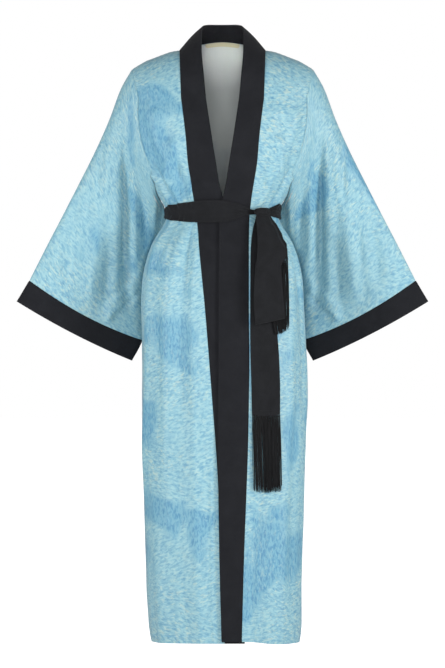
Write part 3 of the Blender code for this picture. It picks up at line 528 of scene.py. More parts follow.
def line_heights(folds, points, front_wall):
    """How far these folds lift a sleeve's front or back wall."""
    total = np.zeros(points.shape[:-1])
    place = np.stack([np.abs(points[..., 0]), points[..., 2]], axis=-1)
    for _, from_x, from_z, to_x, to_z, relief, width, wall_side in folds.rows:
        start, run = np.array([from_x, from_z]), np.array([to_x - from_x, to_z - from_z])
        along = (place - start) @ run / (run @ run)
        nearest = start + np.clip(along, 0.0, 1.0)[..., None] * run
        away = np.linalg.norm(place - nearest, axis=-1)
        ends = smooth_step(0.5 + FOLD_END * along) * smooth_step(0.5 + FOLD_END * (1.0 - along))
        total += relief * ends * np.exp(-((away / width) ** 2)) * (front_wall == (wall_side > 0))
    return total


def sleeve_relief(points, front_wall):
    large, fine = (line_heights(folds, points, front_wall) for folds in (SLEEVE_FOLDS, SLEEVE_CREASES))
    return DEEPER * large + fine + ripple(points[..., 0], points[..., 2])


print("folds:", sum(len(folds.rows) for folds in (BODY_FOLDS, BODY_CREASES, SLEEVE_FOLDS, SLEEVE_CREASES)))

# %% [markdown]
# ## The body of the robe
#
# Each level section of the body is a rounded rectangle. `body` gives the point at an angle and a height,
# moved out along the surface by any lift, so the same function lays the fronts, the lap, the belt and its
# tails, one on the other. `front_angle` turns it round: it finds the angle that shows at a given x from in
# front.

# %% Points on the body
# How far the upper front stands off the under one, the heights between which that begins, and the angles
# between which it ends
LAP_LIFT = 5.2
LAP_START = -285.0
LAP_FULL = -332.0
LAP_NEAR = 32.0
LAP_FAR = 60.0
SEARCH_ROUNDS = 6
SEARCH_LIMIT = 0.995


def lap_lift(angle, height, side):
    """How far the upper front, on side 1, stands off the under one."""
    down = smooth_step((LAP_START - height) / (LAP_START - LAP_FULL))
    across = smooth_step((LAP_FAR - angle) / (LAP_FAR - LAP_NEAR))
    return np.where(side > 0, LAP_LIFT * down * across, 0.0)


def body(angle, height, lift=0.0):
    """A point on the robe's outside, moved out by lift."""
    angle, height = np.broadcast_arrays(np.asarray(angle, float), np.asarray(height, float))
    across, forward = np.sin(np.radians(angle)), np.cos(np.radians(angle))
    half_width = BODY.at("half_width", height)
    depth = np.where(forward > 0.0, BODY.at("front", height), BODY.at("back", height))
    power = BODY.at("power", height)
    reach = (np.abs(across / half_width) ** power + np.abs(forward / depth) ** power) ** (-1.0 / power)
    x, y = reach * across, -reach * forward
    slope_x = np.sign(x) * np.abs(x) ** (power - 1.0) / half_width**power
    slope_y = np.sign(y) * np.abs(y) ** (power - 1.0) / depth**power
    out = (lift + body_relief(angle, height)) / np.hypot(slope_x, slope_y)
    x = x + BODY.at("shift", height) + out * slope_x
    return np.stack([x, y + out * slope_y, height], axis=-1)


def front_angle(x, height, lift=0.0):
    """The angle at which the robe's front, moved out by lift, stands at this x."""
    x, height = np.broadcast_arrays(np.asarray(x, float), np.asarray(height, float))
    half_width, front = BODY.at("half_width", height), BODY.at("front", height)
    power = BODY.at("power", height)
    aim = x - BODY.at("shift", height)
    for _ in range(SEARCH_ROUNDS):
        share = np.clip(np.abs(aim) / half_width, 0.0, SEARCH_LIMIT)
        angle = np.degrees(np.arctan2(aim, front * (1.0 - share**power) ** (1.0 / power)))
        aim = aim + x - body(angle, height, lift)[..., 0]
    return angle


def lapped_body(angle, height, side, out=0.0):
    """A point that stands out from a front, over the lap."""
    return body(angle, height, lap_lift(angle, height, side) + out)


def lapped_angle(x, height, side, out=0.0):
    """The angle at which lapped_body stands at this x."""
    rough = front_angle(x, height, out)
    return front_angle(x, height, lap_lift(rough, height, side) + out)


def over_front(x, height, out):
    """A point at this x that stands out from the upper front."""
    return lapped_body(lapped_angle(x, height, 1, out), height, 1, out)

# %% [markdown]
# ## Panels as grids
#
# A panel is a grid of points whose rows run from seam to seam. Two panels that are sewn together get the same
# points along their seam. The rows and columns lie closer together near the edges, where the seams and the
# turned hem need a finer shape than the open cloth.

# %% Rows and columns of the panels
YOKE_STEPS = 32
CHEST_STEPS = 32
SKIRT_STEPS = 150
HEM_DEPTH = 18.0
HEM_STEPS = 12
FRONT_COLUMNS = 64
NECK_COLUMNS = 40
SHOULDER_COLUMNS = 30
BAND_COLUMNS = 20
EDGE_CROWDING = 0.75
CHEST_TOP = BODY.rows[-1, 0]


def crowded(steps, at_start=True):
    """Shares from 0 to 1 that lie closer together at the end, and as a rule at the start too."""
    t = np.linspace(0.0, 1.0, steps + 1)
    both = t - EDGE_CROWDING * np.sin(2.0 * np.pi * t) / (2.0 * np.pi)
    return both if at_start else 1.0 - 2.0 * np.interp(t / 2.0, t, both)[::-1]


def body_rows():
    """Heights of a panel's rows below the yoke, with closer ones where the hem is turned up."""
    chest = np.linspace(CHEST_TOP, UNDERARM, CHEST_STEPS + 1)
    skirt = np.linspace(UNDERARM, HEM_LEVEL + HEM_DEPTH, SKIRT_STEPS + 1)[1:]
    turned = np.linspace(HEM_LEVEL + HEM_DEPTH, HEM_LEVEL, HEM_STEPS + 1)[1:]
    return np.concatenate([chest, skirt, turned])


print("rows of a front:", YOKE_STEPS + len(body_rows()))

# %% The yoke and the shoulders
def yoke(top, bottom, part, power, last_turn):
    """From the shoulder or neck (0) round to the chest's top (1), as most of a rounded quarter turn."""
    turn = np.radians(last_turn * np.asarray(part, float))[..., None]
    last = np.radians(last_turn)
    curve = 2.0 / np.asarray(power, float)[..., None]
    fall = (1.0 - np.cos(turn) ** curve) / (1.0 - np.cos(last) ** curve)
    level = top + (bottom - top) * fall
    level[..., 1:2] = top[..., 1:2] + (bottom - top)[..., 1:2] * (np.sin(turn) / np.sin(last)) ** curve
    return level


def shoulder_line(share):
    """Points of the shoulder line on the wearer's left, from the neck (0) to the armhole (1)."""
    first, last = SHOULDER.rows[0, 0], SHOULDER.rows[-1, 0]
    x = first + (last - first) * share
    return np.stack([x, np.zeros_like(x), SHOULDER.at("height", x)], axis=-1)


def mirrored(points, side):
    return points * np.array([side, 1.0, 1.0])


def back_top(share):
    """Points of the back's upper edge on the wearer's left, at these shares from its middle."""
    neck = NECK_SEAM.point(1.0 - share / NECK_SHARE)
    shoulder = shoulder_line(np.clip((share - NECK_SHARE) / (1.0 - NECK_SHARE), 0.0, 1.0))
    return np.where((share <= NECK_SHARE)[..., None], neck, shoulder)


def hung(angle, height, layer):
    """The height of a row at this angle: the rows near the hem follow its line."""
    near = smooth_step((HEM_START - height) / (HEM_START - HEM_LEVEL))
    return height + (HEM.at(layer, angle) - HEM_LEVEL) * near

# %% The fronts and the back
def front_panel(side, layer):
    """One front, from its shoulder to its hem and from its neckband's seam to its armhole and side seam."""
    heights = body_rows()[:, None]
    share = crowded(FRONT_COLUMNS)
    outer = side * np.where(heights > UNDERARM, ARMHOLE.at("front", heights), SIDE_SEAM)
    inner = lapped_angle(NECKBAND.at(f"{layer}_seam", heights), heights, side)
    angle = inner + (outer - inner) * share
    lower = lapped_body(angle, hung(angle, heights, layer), side)
    parts = np.linspace(0.0, 1.0, YOKE_STEPS + 1)[:-1, None]
    top = mirrored(shoulder_line(share), side)[None]
    return np.concatenate([yoke(top, lower[:1], parts, FRONT_YOKE, FRONT_TURN), lower])


def back_shares():
    """How the back's columns are spread from its middle to its armhole, with one at the side of the neck."""
    neck = np.linspace(0.0, NECK_SHARE, NECK_COLUMNS + 1)
    shoulder = crowded(SHOULDER_COLUMNS, at_start=False)[1:]
    return np.concatenate([neck, NECK_SHARE + (1.0 - NECK_SHARE) * shoulder])


def back_panel():
    """The back in one piece, from the wearer's right armhole to the left one."""
    halves = []
    heights = body_rows()[:, None]
    parts = np.linspace(0.0, 1.0, YOKE_STEPS + 1)[:-1, None]
    share = back_shares()
    for side in (-1, 1):
        outer = np.where(heights > UNDERARM, ARMHOLE.at("back", heights), SIDE_SEAM)
        angle = side * (180.0 - (180.0 - outer) * share)
        lower = body(angle, hung(angle, heights, "back"))
        top = mirrored(back_top(share), side)[None]
        upper = yoke(top, lower[:1], parts, BACK_YOKE.at("power", share), BACK_TURN)
        halves.append(np.concatenate([upper, lower]))
    right, left = halves
    return np.concatenate([right[:, :0:-1], left], axis=1)


front_left = front_panel(1, "upper")
front_right = front_panel(-1, "under")
back = back_panel()
print("grids of points:", front_left.shape[:2], front_right.shape[:2], back.shape[:2])

# %% [markdown]
# ## The neckband
#
# The band is a folded strip of crepe. Below the chest it lies on the body like the fronts. Above it runs over
# the shoulder and stands up a little round the back of the neck, from its seam to its free edge, with a soft
# crown between the two.

# %% Half the neckband
def neckband(side, panel, layer):
    """Half the neckband, from the hem up its front's edge, over the shoulder to the middle of the back."""
    share = crowded(BAND_COLUMNS)
    heights = panel[YOKE_STEPS:, 0, 2:3]
    first = lapped_angle(NECKBAND.at(f"{layer}_seam", heights), heights, side)
    last = lapped_angle(NECKBAND.at(f"{layer}_edge", heights), heights, side)
    on_body = lapped_body(first + (last - first) * share, heights, side)[::-1]
    over_part = np.linspace(0.0, 1.0, YOKE_STEPS + 1)[1:]
    back_part = np.linspace(0.0, 1.0, NECK_COLUMNS + 1)[1:]
    sewn = np.concatenate([panel[YOKE_STEPS - 1 :: -1, 0], mirrored(NECK_SEAM.point(back_part), side)])
    part = np.concatenate([over_part, 1.0 + back_part])
    free = mirrored(NECK_EDGE.point(part), side)
    along = np.gradient(sewn + free, axis=0)
    out = np.cross(along, free - sewn)
    out = out / np.linalg.norm(out, axis=1, keepdims=True)
    out = out * np.sign(out[:, 2:3] + out[:, 0:1] * side)
    out[-1] *= (0.0, 1.0, 1.0)
    crown = NECKBAND_CROWN * np.sin(np.pi * share) * smooth_step(2.0 * part)[:, None]
    above = sewn[:, None] + (free - sewn)[:, None] * share[:, None] + out[:, None] * crown[..., None]
    return np.concatenate([on_body, above])


band_left = neckband(1, front_left, "upper")
band_right = neckband(-1, front_right, "under")
band = np.concatenate([band_right, band_left[-2::-1]])
print("neckband:", band.shape[0], "rows from hem to hem")

# %% [markdown]
# ## The sleeves
#
# A sleeve is a tube. Its first section is the loop of points round the armhole. Further out the sections pass
# into flat ones with an upper and a lower fold, because a wide sleeve hangs almost flat from the arm.

# %% Sections of a sleeve
def armhole_loop(side, front, back):
    """The armhole's edge, down the front from the shoulder and up the back again."""
    rows = YOKE_STEPS + CHEST_STEPS + 1
    edge = back[:, -1] if side > 0 else back[:, 0]
    return np.concatenate([front[:rows, -1], edge[rows - 2 : 0 : -1]])


def sleeve_fold(fold, parts, side):
    """Points of a sleeve's upper fold (top) or lower fold (low)."""
    points = np.stack([SLEEVE.at(f"{fold}_{axis}", parts) for axis in "xyz"], axis=-1)
    return mirrored(points, side)


def sleeve_middle(parts, side):
    return (sleeve_fold("top", parts, side) + sleeve_fold("low", parts, side)) / 2.0


def sleeve_sections(side, loop, parts):
    """Sections of a sleeve and its cuff, which start as the armhole's loop and flatten towards the cuff."""
    parts = np.asarray(parts, float)
    top, low = sleeve_fold("top", parts, side), sleeve_fold("low", parts, side)
    run = sleeve_middle(parts + RUN_STEP, side) - sleeve_middle(parts - RUN_STEP, side)
    out = np.cross(low - top, run)
    out = out / np.linalg.norm(out, axis=1, keepdims=True)
    out = (out * -np.sign(out[:, 1:2]))[:, None]
    flat = smooth_step(parts / ARMHOLE_REACH)[:, None, None]
    loop_top, loop_low = loop[0], loop[len(loop) // 2]
    top = top[:, None] + (loop_top - sleeve_fold("top", 0.0, side)) * (1.0 - flat)
    low = low[:, None] + (loop_low - sleeve_fold("low", 0.0, side)) * (1.0 - flat)
    chord = loop_low - loop_top
    loop_share = ((loop - loop_top) @ chord / (chord @ chord))[:, None]
    loop_off = loop - loop_top - loop_share * chord
    turn = np.linspace(0.0, 2.0 * np.pi, len(loop), endpoint=False)[:, None]
    flat_share = (1.0 - np.cos(turn)) / 2.0
    share = loop_share + (flat_share - loop_share) * flat
    depth = SLEEVE.at("depth", parts)[:, None, None]
    flat_off = out * depth * np.sin(turn) * (1.0 - SLEEVE_TAPER * flat_share)
    sag = SLEEVE.at("sag", parts)[:, None] * run / np.linalg.norm(run, axis=1, keepdims=True)
    points = top + (low - top) * share + loop_off * (1.0 - flat) + flat_off * flat
    points = points + sag[:, None] * np.sin(turn) ** 2
    front_wall = (np.sin(turn) > 0.0)[:, 0]
    wall_share = np.sign(np.sin(turn)) * np.sqrt(np.abs(np.sin(turn)))
    return points + out * wall_share * (sleeve_relief(points, front_wall) * flat[..., 0])[..., None]

# %% [markdown]
# ## The sleeve beside the waist
#
# Below its armhole the front of a sleeve turns back towards its back wall, so that it falls away beside the
# waist and stays close to it. `TUCK_EDGE` is the line where the turn begins, and `tucked` moves the points
# past it.

# %% Turn the sleeve's front back
# Where the turn begins, as seen from in front
TUCK_EDGE = Table("height edge", [
    (-660, 184),
    (-610, 189),
    (-563, 190),
    (-517, 187),
    (-472, 179),
    (-445, 168),
    (-416, 156),
    (-380, 153),
    (-300, 151),
    (-270, 140),
])

# The turn's width, how far it goes towards the back wall, the gap that it leaves there, its curve's power and
# the share of the sleeve over which it starts and ends
TUCK_WIDTH = 21.0
TUCK_SHARE = 0.95
TUCK_GAP = 11.0
TUCK_CURVE = 1.7
TUCK_START = 0.14

# The place beside the waist where the sleeve is drawn close, how far around it, and which way
CLOSE_PLACE = (138.0, -349.0)
CLOSE_REACH = (14.0, 14.0)
CLOSE_MOVE = (-6.0, 8.0, 0.0)


def nearness(points, side, place, reach):
    """1 at a place as seen from in front, falling softly to 0 around it."""
    across = (side * points[..., 0] - place[0]) / reach[0]
    down = (points[..., 2] - place[1]) / reach[1]
    return np.exp(-(across**2) - down**2)[..., None]


def tucked(points, side, parts):
    """A sleeve whose front turns back along the body and stays close beside the waist."""
    columns = points.shape[1]
    number = np.arange(columns)
    front_wall = (number > 0) & (number < columns / 2)
    free = (smooth_step(parts / TUCK_START) * smooth_step((1.0 - parts) / TUCK_START))[:, None]
    past_edge = (TUCK_EDGE.at("edge", points[..., 2]) - side * points[..., 0]) / TUCK_WIDTH
    turned = np.sin(0.5 * np.pi * np.clip(past_edge, 0.0, 1.0)) ** TUCK_CURVE
    room = np.maximum(points[:, -number, 1] - points[..., 1] - TUCK_GAP, 0.0)
    points = points.copy()
    points[..., 1] += TUCK_SHARE * free * turned * front_wall * room
    close = free[..., None] * nearness(points, side, CLOSE_PLACE, CLOSE_REACH)
    return points + close * mirrored(np.array(CLOSE_MOVE), side)


# %% The sleeves and their cuffs
SLEEVE_STEPS = 100
CUFF_STEPS = 14

sleeve_grids = {}
cuff_grids = {}
for side, front in ((1, front_left), (-1, front_right)):
    loop = armhole_loop(side, front, back)
    parts = crowded(SLEEVE_STEPS)
    sleeve_grids[side] = tucked(sleeve_sections(side, loop, parts), side, parts)
    cuff_grids[side] = sleeve_sections(side, loop, 1.0 + crowded(CUFF_STEPS))
print("sleeve:", sleeve_grids[1].shape[0], "sections of", sleeve_grids[1].shape[1], "points")

# %% [markdown]
# ## Seams and hems in the surface
#
# Sewn cloth dips a little at a seam, because the allowances pull it in, and the thread puckers it. Where a
# hem is turned up there are three layers, so it stands out by their thickness, and the row of stitches
# presses a line into it. All of this is a small move along the surface's own normals, by the distance from an
# edge.

# %% Dip the seams and raise the hems
SEAM_DIP = 0.8
SEAM_REACH = 2.6
PUCKER = 0.35
PUCKER_REACH = 9.0
PUCKER_LENGTH = 11.0
HEM_RISE = 0.55
STITCH_FROM_EDGE = 2.0
STITCH_PRESS = 0.35


def grid_normals(points, around, inside):
    """Unit vectors square to a grid at each of its points, away from the points inside it."""
    down = np.gradient(points, axis=0)
    if around:
        across = np.roll(points, -1, axis=1) - np.roll(points, 1, axis=1)
    else:
        across = np.gradient(points, axis=1)
    normals = np.cross(down, across)
    normals = normals / np.maximum(np.linalg.norm(normals, axis=-1, keepdims=True), 1e-9)
    return normals * np.sign((normals * (points - inside)).sum(axis=-1).mean())


def run_lengths(points, axis):
    """How far along its row (axis 1) or column (axis 0) each point of a grid lies."""
    steps = np.linalg.norm(np.diff(points, axis=axis), axis=-1)
    start = np.zeros_like(steps[:1]) if axis == 0 else np.zeros_like(steps[:, :1])
    return np.concatenate([start, np.cumsum(steps, axis=axis)], axis=axis)


def axis_of(points):
    """The points of the robe's upright axis level with these."""
    return points * np.array([0.0, 0.0, 1.0])


def middle_of(points):
    """The middle of each section of a tube."""
    return points.mean(axis=1, keepdims=True)


def seam_relief(distance, along):
    """The dip and the puckers of the cloth at this distance from a seam."""
    wave = np.sin(2.0 * np.pi * (along / PUCKER_LENGTH + 0.35 * np.sin(along / 47.0)))
    pucker = PUCKER * wave * np.sin(along / 83.0 + 1.0) * np.exp(-distance / PUCKER_REACH)
    return pucker - SEAM_DIP * np.exp(-((distance / SEAM_REACH) ** 2))


def hem_relief(distance, depth):
    """How far a hem of this depth stands out at this distance from its folded edge."""
    turned = HEM_RISE * smooth_step(depth + 0.5 - distance)
    pressed = STITCH_PRESS * np.exp(-((distance - depth + STITCH_FROM_EDGE) ** 2))
    return turned - pressed


def sewn_edges(points, inside, seams, hems=(), around=False):
    """A grid with its seams dipped and its hems raised. Edges are named top, bottom, first and last."""
    across, down = run_lengths(points, 1), run_lengths(points, 0)
    ways = {
        "top": (down, across),
        "bottom": (down[-1:] - down, across),
        "first": (across, down),
        "last": (across[:, -1:] - across, down),
    }
    relief = np.zeros(points.shape[:2])
    for edge in seams:
        relief += seam_relief(*ways[edge])
    for edge, depth in hems:
        relief += hem_relief(ways[edge][0], depth)
    return points + grid_normals(points, around, inside) * relief[..., None]


raw_back = back
front_left, front_right, back = (
    sewn_edges(grid, axis_of(grid), ("top", "first", "last"), [("bottom", HEM_DEPTH)])
    for grid in (front_left, front_right, back)
)
for side, grid in sleeve_grids.items():
    sleeve_grids[side] = sewn_edges(grid, middle_of(grid), ("top", "bottom"), around=True)
print("seam dip:", SEAM_DIP, "mm; hem:", HEM_DEPTH, "mm deep")

# %% [markdown]
# ## The belt
#
# The belt is one long strip of crepe. It goes round the waist as a closed turn, and from the knot hang a loop
# and two ends. In CAD each of these stretches is a solid of its own. Here they get finer creases: where a
# soft strip is pulled into a knot, its width gathers into long folds that run towards the knot.

# %% Sizes of the belt
# The strip's thickness, its gap to the robe under it, and the gap between things that lie on each other
BELT_WALL = 2.0
BELT_CLEAR = 1.4
LAY_GAP = 0.4

# The knot: its angle and height on the body, how far its middle stands off, its half sizes, and its turn
KNOT_ANGLE = 50.0
KNOT_HEIGHT = -365.0
KNOT_OUT = 16.8
KNOT_SIZE = (15.5, 9.2, 9.0)
KNOT_TURN = 38.0

# The height from which the loop and the ends hang
HANG_TOP = KNOT_HEIGHT - KNOT_SIZE[2] - LAY_GAP

# The belt round the waist: the heights of its two edges at each angle
BELT = Table("angle top bottom", [
    (-180, -341, -390),
    (-140, -343, -389),
    (-108, -351, -384),
    (-88, -353, -381),
    (-60, -348, -385),
    (-40, -343, -388),
    (-20, -340, -389),
    (0, -340, -388),
    (15, -345, -383),
    (28, -353, -375),
    (40, -361, -371),
    (55, -361, -372),
    (72, -347, -378),
    (88, -350, -381),
    (108, -351, -384),
    (140, -343, -389),
    (180, -341, -390),
])

# What hangs from the knot: each strip's two edges seen from in front, and how far it stands off the robe
LONG_TAIL = Table("height left right out", [
    (HANG_TOP, 78, 97, 11),
    (-398, 70, 110, 7),
    (-427, 65, 118, 4.8),
    (-460, 63, 122, 4.2),
    (-612, 62, 122, 4),
    (-697, 63, 127, 4),
    (-760, 65, 129, 4),
    (-819, 66, 129, 4),
])

SHORT_TAIL = Table("height left right out", [
    (HANG_TOP, 80, 98, 15),
    (-398, 84, 118, 12.6),
    (-427, 86, 134, 10),
    (-450, 86, 145, 8.8),
    (-484, 87, 148, 8.8),
])

LOOP = Table("height left right front back", [
    (HANG_TOP, 76, 101, 25, 19),
    (-399, 77, 124, 27, 17),
    (-425, 79, 135, 28, 15),
    (-441, 79, 143, 28, 14),
    (-458, 78, 144, 29, 13.5),
    (-472, 77, 139, 29, 13.5),
    (-486, 74, 131, 29, 13.5),
    (-568, 70, 137, 29, 13.5),
    (-620, 74, 141, 28, 13.5),
])

# The short end's slant, and the heights of the loop's lower fold at its two sides
SHORT_TAIL_SLANT = 14.0
LOOP_LOW_LEFT = -619.0
LOOP_LOW_RIGHT = -605.0

# %% The belt's turn round the waist
BELT_STEPS = 480
BELT_ROWS = 30

# The angle beyond which only the upper front lies under the belt, and over how many degrees that changes
UNDER_LAP_ANGLE = -48.0
UNDER_LAP_SPREAD = 36.0

# How far round the knot's pull reaches (degrees), the least height of the gathers, how much they wander as a
# share of the width, and their strength: everywhere, what the knot adds, and the uneven part
GATHER_REACH = 34.0
GATHER_LEAST = 0.9
GATHER_WANDER = 0.035
GATHER_SWELL = (0.4, 1.5, 0.25)
BELT_GATHERS = [
    # share of the width far from the knot and at it, height in mm, width as a share
    (0.10, 0.16, 0.9, 0.05),
    (0.24, 0.30, -0.8, 0.05),
    (0.37, 0.41, 1.0, 0.05),
    (0.52, 0.52, -1.0, 0.06),
    (0.66, 0.61, 0.9, 0.05),
    (0.80, 0.72, -0.8, 0.05),
    (0.92, 0.84, 0.8, 0.05),
]
BELT_PINCHES = [
    # angle and its width in degrees, how far the top comes down and the bottom up, in mm
    (-90.0, 15.0, 8.0, 4.0),
    (93.0, 11.0, 12.0, 1.0),
]


def belt_lift(angle, height):
    """How far the belt's inside stands off the robe, over the lapped fronts and down to the single one."""
    over = lap_lift(angle, height, 1.0)
    under = LAP_LIFT * smooth_step((angle - UNDER_LAP_ANGLE) / UNDER_LAP_SPREAD)
    return np.where(angle > 0.0, over, under) + BELT_CLEAR


def belt_gathers(angle, share):
    """The long folds of the belt, which deepen towards the knot and wander a little on the way round."""
    away = np.abs((angle - KNOT_ANGLE + 180.0) % 360.0 - 180.0)
    near = np.exp(-away / GATHER_REACH)
    total = np.full(np.broadcast(angle, share).shape, GATHER_LEAST)
    everywhere, pulled, uneven = GATHER_SWELL
    for number, (far, close, height, width) in enumerate(BELT_GATHERS):
        wander = GATHER_WANDER * np.sin(np.radians(3.0 * angle) + 2.1 * number)
        middle = far + (close - far) * near + wander
        swell = everywhere + pulled * near + uneven * np.sin(np.radians(2.0 * angle) + 1.7 * number)
        total = total + height * swell * np.exp(-(((share - middle) / width) ** 2))
    return total


def belt_round():
    """The belt's turn round the waist, which narrows to the knot and is pinched at the sides."""
    angle = np.linspace(-180.0, 180.0, BELT_STEPS, endpoint=False)
    share = crowded(BELT_ROWS)[:, None]
    top, bottom = BELT.at("top", angle), BELT.at("bottom", angle)
    for place, width, lower, raise_by in BELT_PINCHES:
        near = np.exp(-(((angle - place) / width) ** 2))
        top, bottom = top - lower * near, bottom + raise_by * near
    height = top + (bottom - top) * share
    return body(angle, height, belt_lift(angle, height) + BELT_WALL + belt_gathers(angle, share))


belt = belt_round()
print("belt round the waist:", round(run_lengths(belt, 1)[BELT_ROWS // 2, -1]), "mm")

# %% The ends and the loop that hang from the knot
STRIP_COLUMNS = 30
LONG_TAIL_ROWS = 150
SHORT_TAIL_ROWS = 40
LOOP_ROWS = 80
LOOP_TURN_ROWS = 14

# The least height of a hanging strip's folds, how much they wander as a share of the width, their strength in
# an even and an uneven part, and how fast they rise below the knot and fall above the hem
STRIP_LEAST = 0.8
STRIP_WANDER = 0.02
STRIP_SWELL = (0.55, 0.45)
STRIP_RISE = 3.0
STRIP_FALL = 6.0
STRIP_FOLDS = [
    # share of the width at the top and at the bottom, height in mm, width as a share
    (0.14, 0.10, 0.7, 0.06),
    (0.30, 0.27, -0.6, 0.07),
    (0.45, 0.48, 0.8, 0.07),
    (0.60, 0.66, -0.7, 0.06),
    (0.74, 0.80, 0.6, 0.06),
    (0.88, 0.92, -0.5, 0.05),
]
STRIP_HEM = 14.0
TAIL_SAG = 4.0

# The loop: its fold's depth, how far below the knot its creases begin, how far its right side is drawn in and
# down to where, and how far that side rolls back, from which share of the width
LOOP_HEM = 26.0
LOOP_CREASE_START = 33.0
LOOP_INSET = 4.5
LOOP_INSET_END = -452.0
LOOP_ROLL = 7.0
LOOP_ROLL_FROM = 0.9

# How far below it the knot's pull reaches, and how far it lifts and tucks in what comes out of it
KNOT_REACH = 18.0
HANG_RISE = 7.0
HANG_TUCK = 8.0


def strip_creases(share, drop):
    """The long soft folds of a hanging strip, at a share of its width and of its drop."""
    total = np.full(np.broadcast(share, drop).shape, STRIP_LEAST)
    everywhere, uneven = STRIP_SWELL
    for number, (high, low, height, width) in enumerate(STRIP_FOLDS):
        middle = high + (low - high) * drop + STRIP_WANDER * np.sin(9.0 * drop + 2.0 * number)
        swell = everywhere + uneven * np.cos(5.0 * drop + 1.9 * number)
        total = total + height * swell * np.exp(-(((share - middle) / width) ** 2))
    return total


def out_of_knot(x, height, out):
    """Points over the upper front, which rise and tuck in where they come out of the knot."""
    knotted = 1.0 - smooth_step((HANG_TOP - height) / KNOT_REACH)
    return over_front(x, height + HANG_RISE * knotted, out - HANG_TUCK * knotted)


def tail(table, rows, slant, sag):
    """A hanging end of the belt, from the knot down. Its lower edge rises by slant to the right, and sags."""
    share = crowded(STRIP_COLUMNS)
    start, end = table.rows[-1, 0], table.rows[0, 0]
    drop = np.linspace(0.0, 1.0, rows + 1)[:, None]
    height = start + (end + slant * share - sag * np.sin(np.pi * share) - start) * drop
    left, right = table.at("left", height), table.at("right", height)
    fade = smooth_step(STRIP_RISE * drop) * smooth_step(STRIP_FALL * (1.0 - drop))
    from_hem = (1.0 - drop) * (start - end)
    out = table.at("out", height) + strip_creases(share, drop) * fade + hem_relief(from_hem, STRIP_HEM)
    return out_of_knot(left + (right - left) * share, height, out)


def belt_loop():
    """The hanging loop: its front layer runs down from the knot, turns under and comes up again behind."""
    share = crowded(STRIP_COLUMNS)
    low = LOOP_LOW_LEFT + (LOOP_LOW_RIGHT - LOOP_LOW_LEFT) * share
    drop = np.linspace(0.0, 1.0, LOOP_ROWS + 1)[:, None]
    turn = np.radians(np.linspace(0.0, 180.0, LOOP_TURN_ROWS + 1)[1:-1])[:, None]
    radius = (LOOP.at("front", low) - LOOP.at("back", low)) / 2.0
    down = HANG_TOP + (low + radius - HANG_TOP) * drop
    under = low + radius - radius * np.sin(turn)
    height = np.concatenate([down, under, down[::-1]])
    front, back = LOOP.at("front", height), LOOP.at("back", height)
    turning = np.broadcast_to(0.5 + 0.5 * np.cos(turn), under.shape)
    sway = np.concatenate([np.ones_like(down), turning, np.zeros_like(down)])
    beside = smooth_step((HANG_TOP - height) / KNOT_REACH)
    beside = beside * smooth_step((height - LOOP_INSET_END) / KNOT_REACH)
    left, right = LOOP.at("left", height), LOOP.at("right", height) - LOOP_INSET * sway * beside
    reach = np.concatenate([drop, np.ones_like(turn), drop[::-1]])
    crease = strip_creases(share, reach) * smooth_step((HANG_TOP - height) / LOOP_CREASE_START) * (sway - 0.5)
    rolled = LOOP_ROLL * smooth_step((share - LOOP_ROLL_FROM) / (1.0 - LOOP_ROLL_FROM)) * beside * sway
    out = back + (front - back) * sway + crease + hem_relief(height - low, LOOP_HEM) * sway - rolled
    return out_of_knot(left + (right - left) * share, height, out)


long_tail = tail(LONG_TAIL, LONG_TAIL_ROWS, 0.0, TAIL_SAG)
short_tail = tail(SHORT_TAIL, SHORT_TAIL_ROWS, SHORT_TAIL_SLANT, 0.0)
loop_strip = belt_loop()
print("hanging strips:", long_tail.shape[:2], short_tail.shape[:2], loop_strip.shape[:2])

# %% [markdown]
# ## The knot
#
# The knot is a lump of the same strip wound on itself. A lump with slanting turns round it reads as wound
# cloth: broad folds make the turns, and narrow grooves between them are where one turn dives under the next.

# %% The knot
KNOT_COLUMNS = 160
KNOT_ROWS = 96

# How far the lump is drawn out towards the belt, the height of its fine folds, and the powers that round it
# across and upwards
KNOT_PULL = 0.9
KNOT_RIPPLE = 0.03
KNOT_ROUND = (0.7, 0.8)
KNOT_GROOVES = [
    # slant, place round the knot in degrees, depth of the groove and its width in degrees
    (1.1, 20.0, 0.16, 9.0),
    (1.1, 95.0, 0.12, 8.0),
    (1.1, 160.0, 0.15, 9.0),
    (1.1, 232.0, 0.13, 8.0),
    (1.1, 300.0, 0.15, 9.0),
    (-0.8, 60.0, 0.07, 7.0),
    (-0.8, 250.0, 0.08, 7.0),
]


def knot():
    """The knot's surface: a rounded lump with slanting grooves."""
    around = np.linspace(0.0, 360.0, KNOT_COLUMNS, endpoint=False)[None, :]
    up = np.linspace(-90.0, 90.0, KNOT_ROWS + 1)[:, None]
    wound = np.ones(np.broadcast(around, up).shape)
    for slant, place, depth, width in KNOT_GROOVES:
        off = (around - place - slant * up + 180.0) % 360.0 - 180.0
        wound = wound - depth * np.exp(-((off / width) ** 2)) * np.cos(np.radians(up))
    wound = wound + KNOT_RIPPLE * np.cos(np.radians(7.0 * around + 5.0 * up)) * np.cos(np.radians(up))
    around, up = np.radians(around), np.radians(up)
    level = np.cos(up) ** KNOT_ROUND[0] * wound
    wide, deep, tall = KNOT_SIZE
    pulled = 1.0 + KNOT_PULL * smooth_step(-np.cos(around))
    x = wide * level * np.cos(around) * pulled
    y = deep * level * np.sin(around)
    z = np.broadcast_to(tall * np.sign(np.sin(up)) * np.abs(np.sin(up)) ** KNOT_ROUND[1], x.shape)
    turn = np.radians(KNOT_TURN)
    turned = [(np.cos(turn), np.sin(turn), 0.0), (np.sin(turn), -np.cos(turn), 0.0), (0.0, 0.0, 1.0)]
    return body(KNOT_ANGLE, KNOT_HEIGHT, KNOT_OUT) + np.stack([x, y, z], axis=-1) @ turned


knot_grid = knot()
print("knot:", knot_grid.shape[:2])

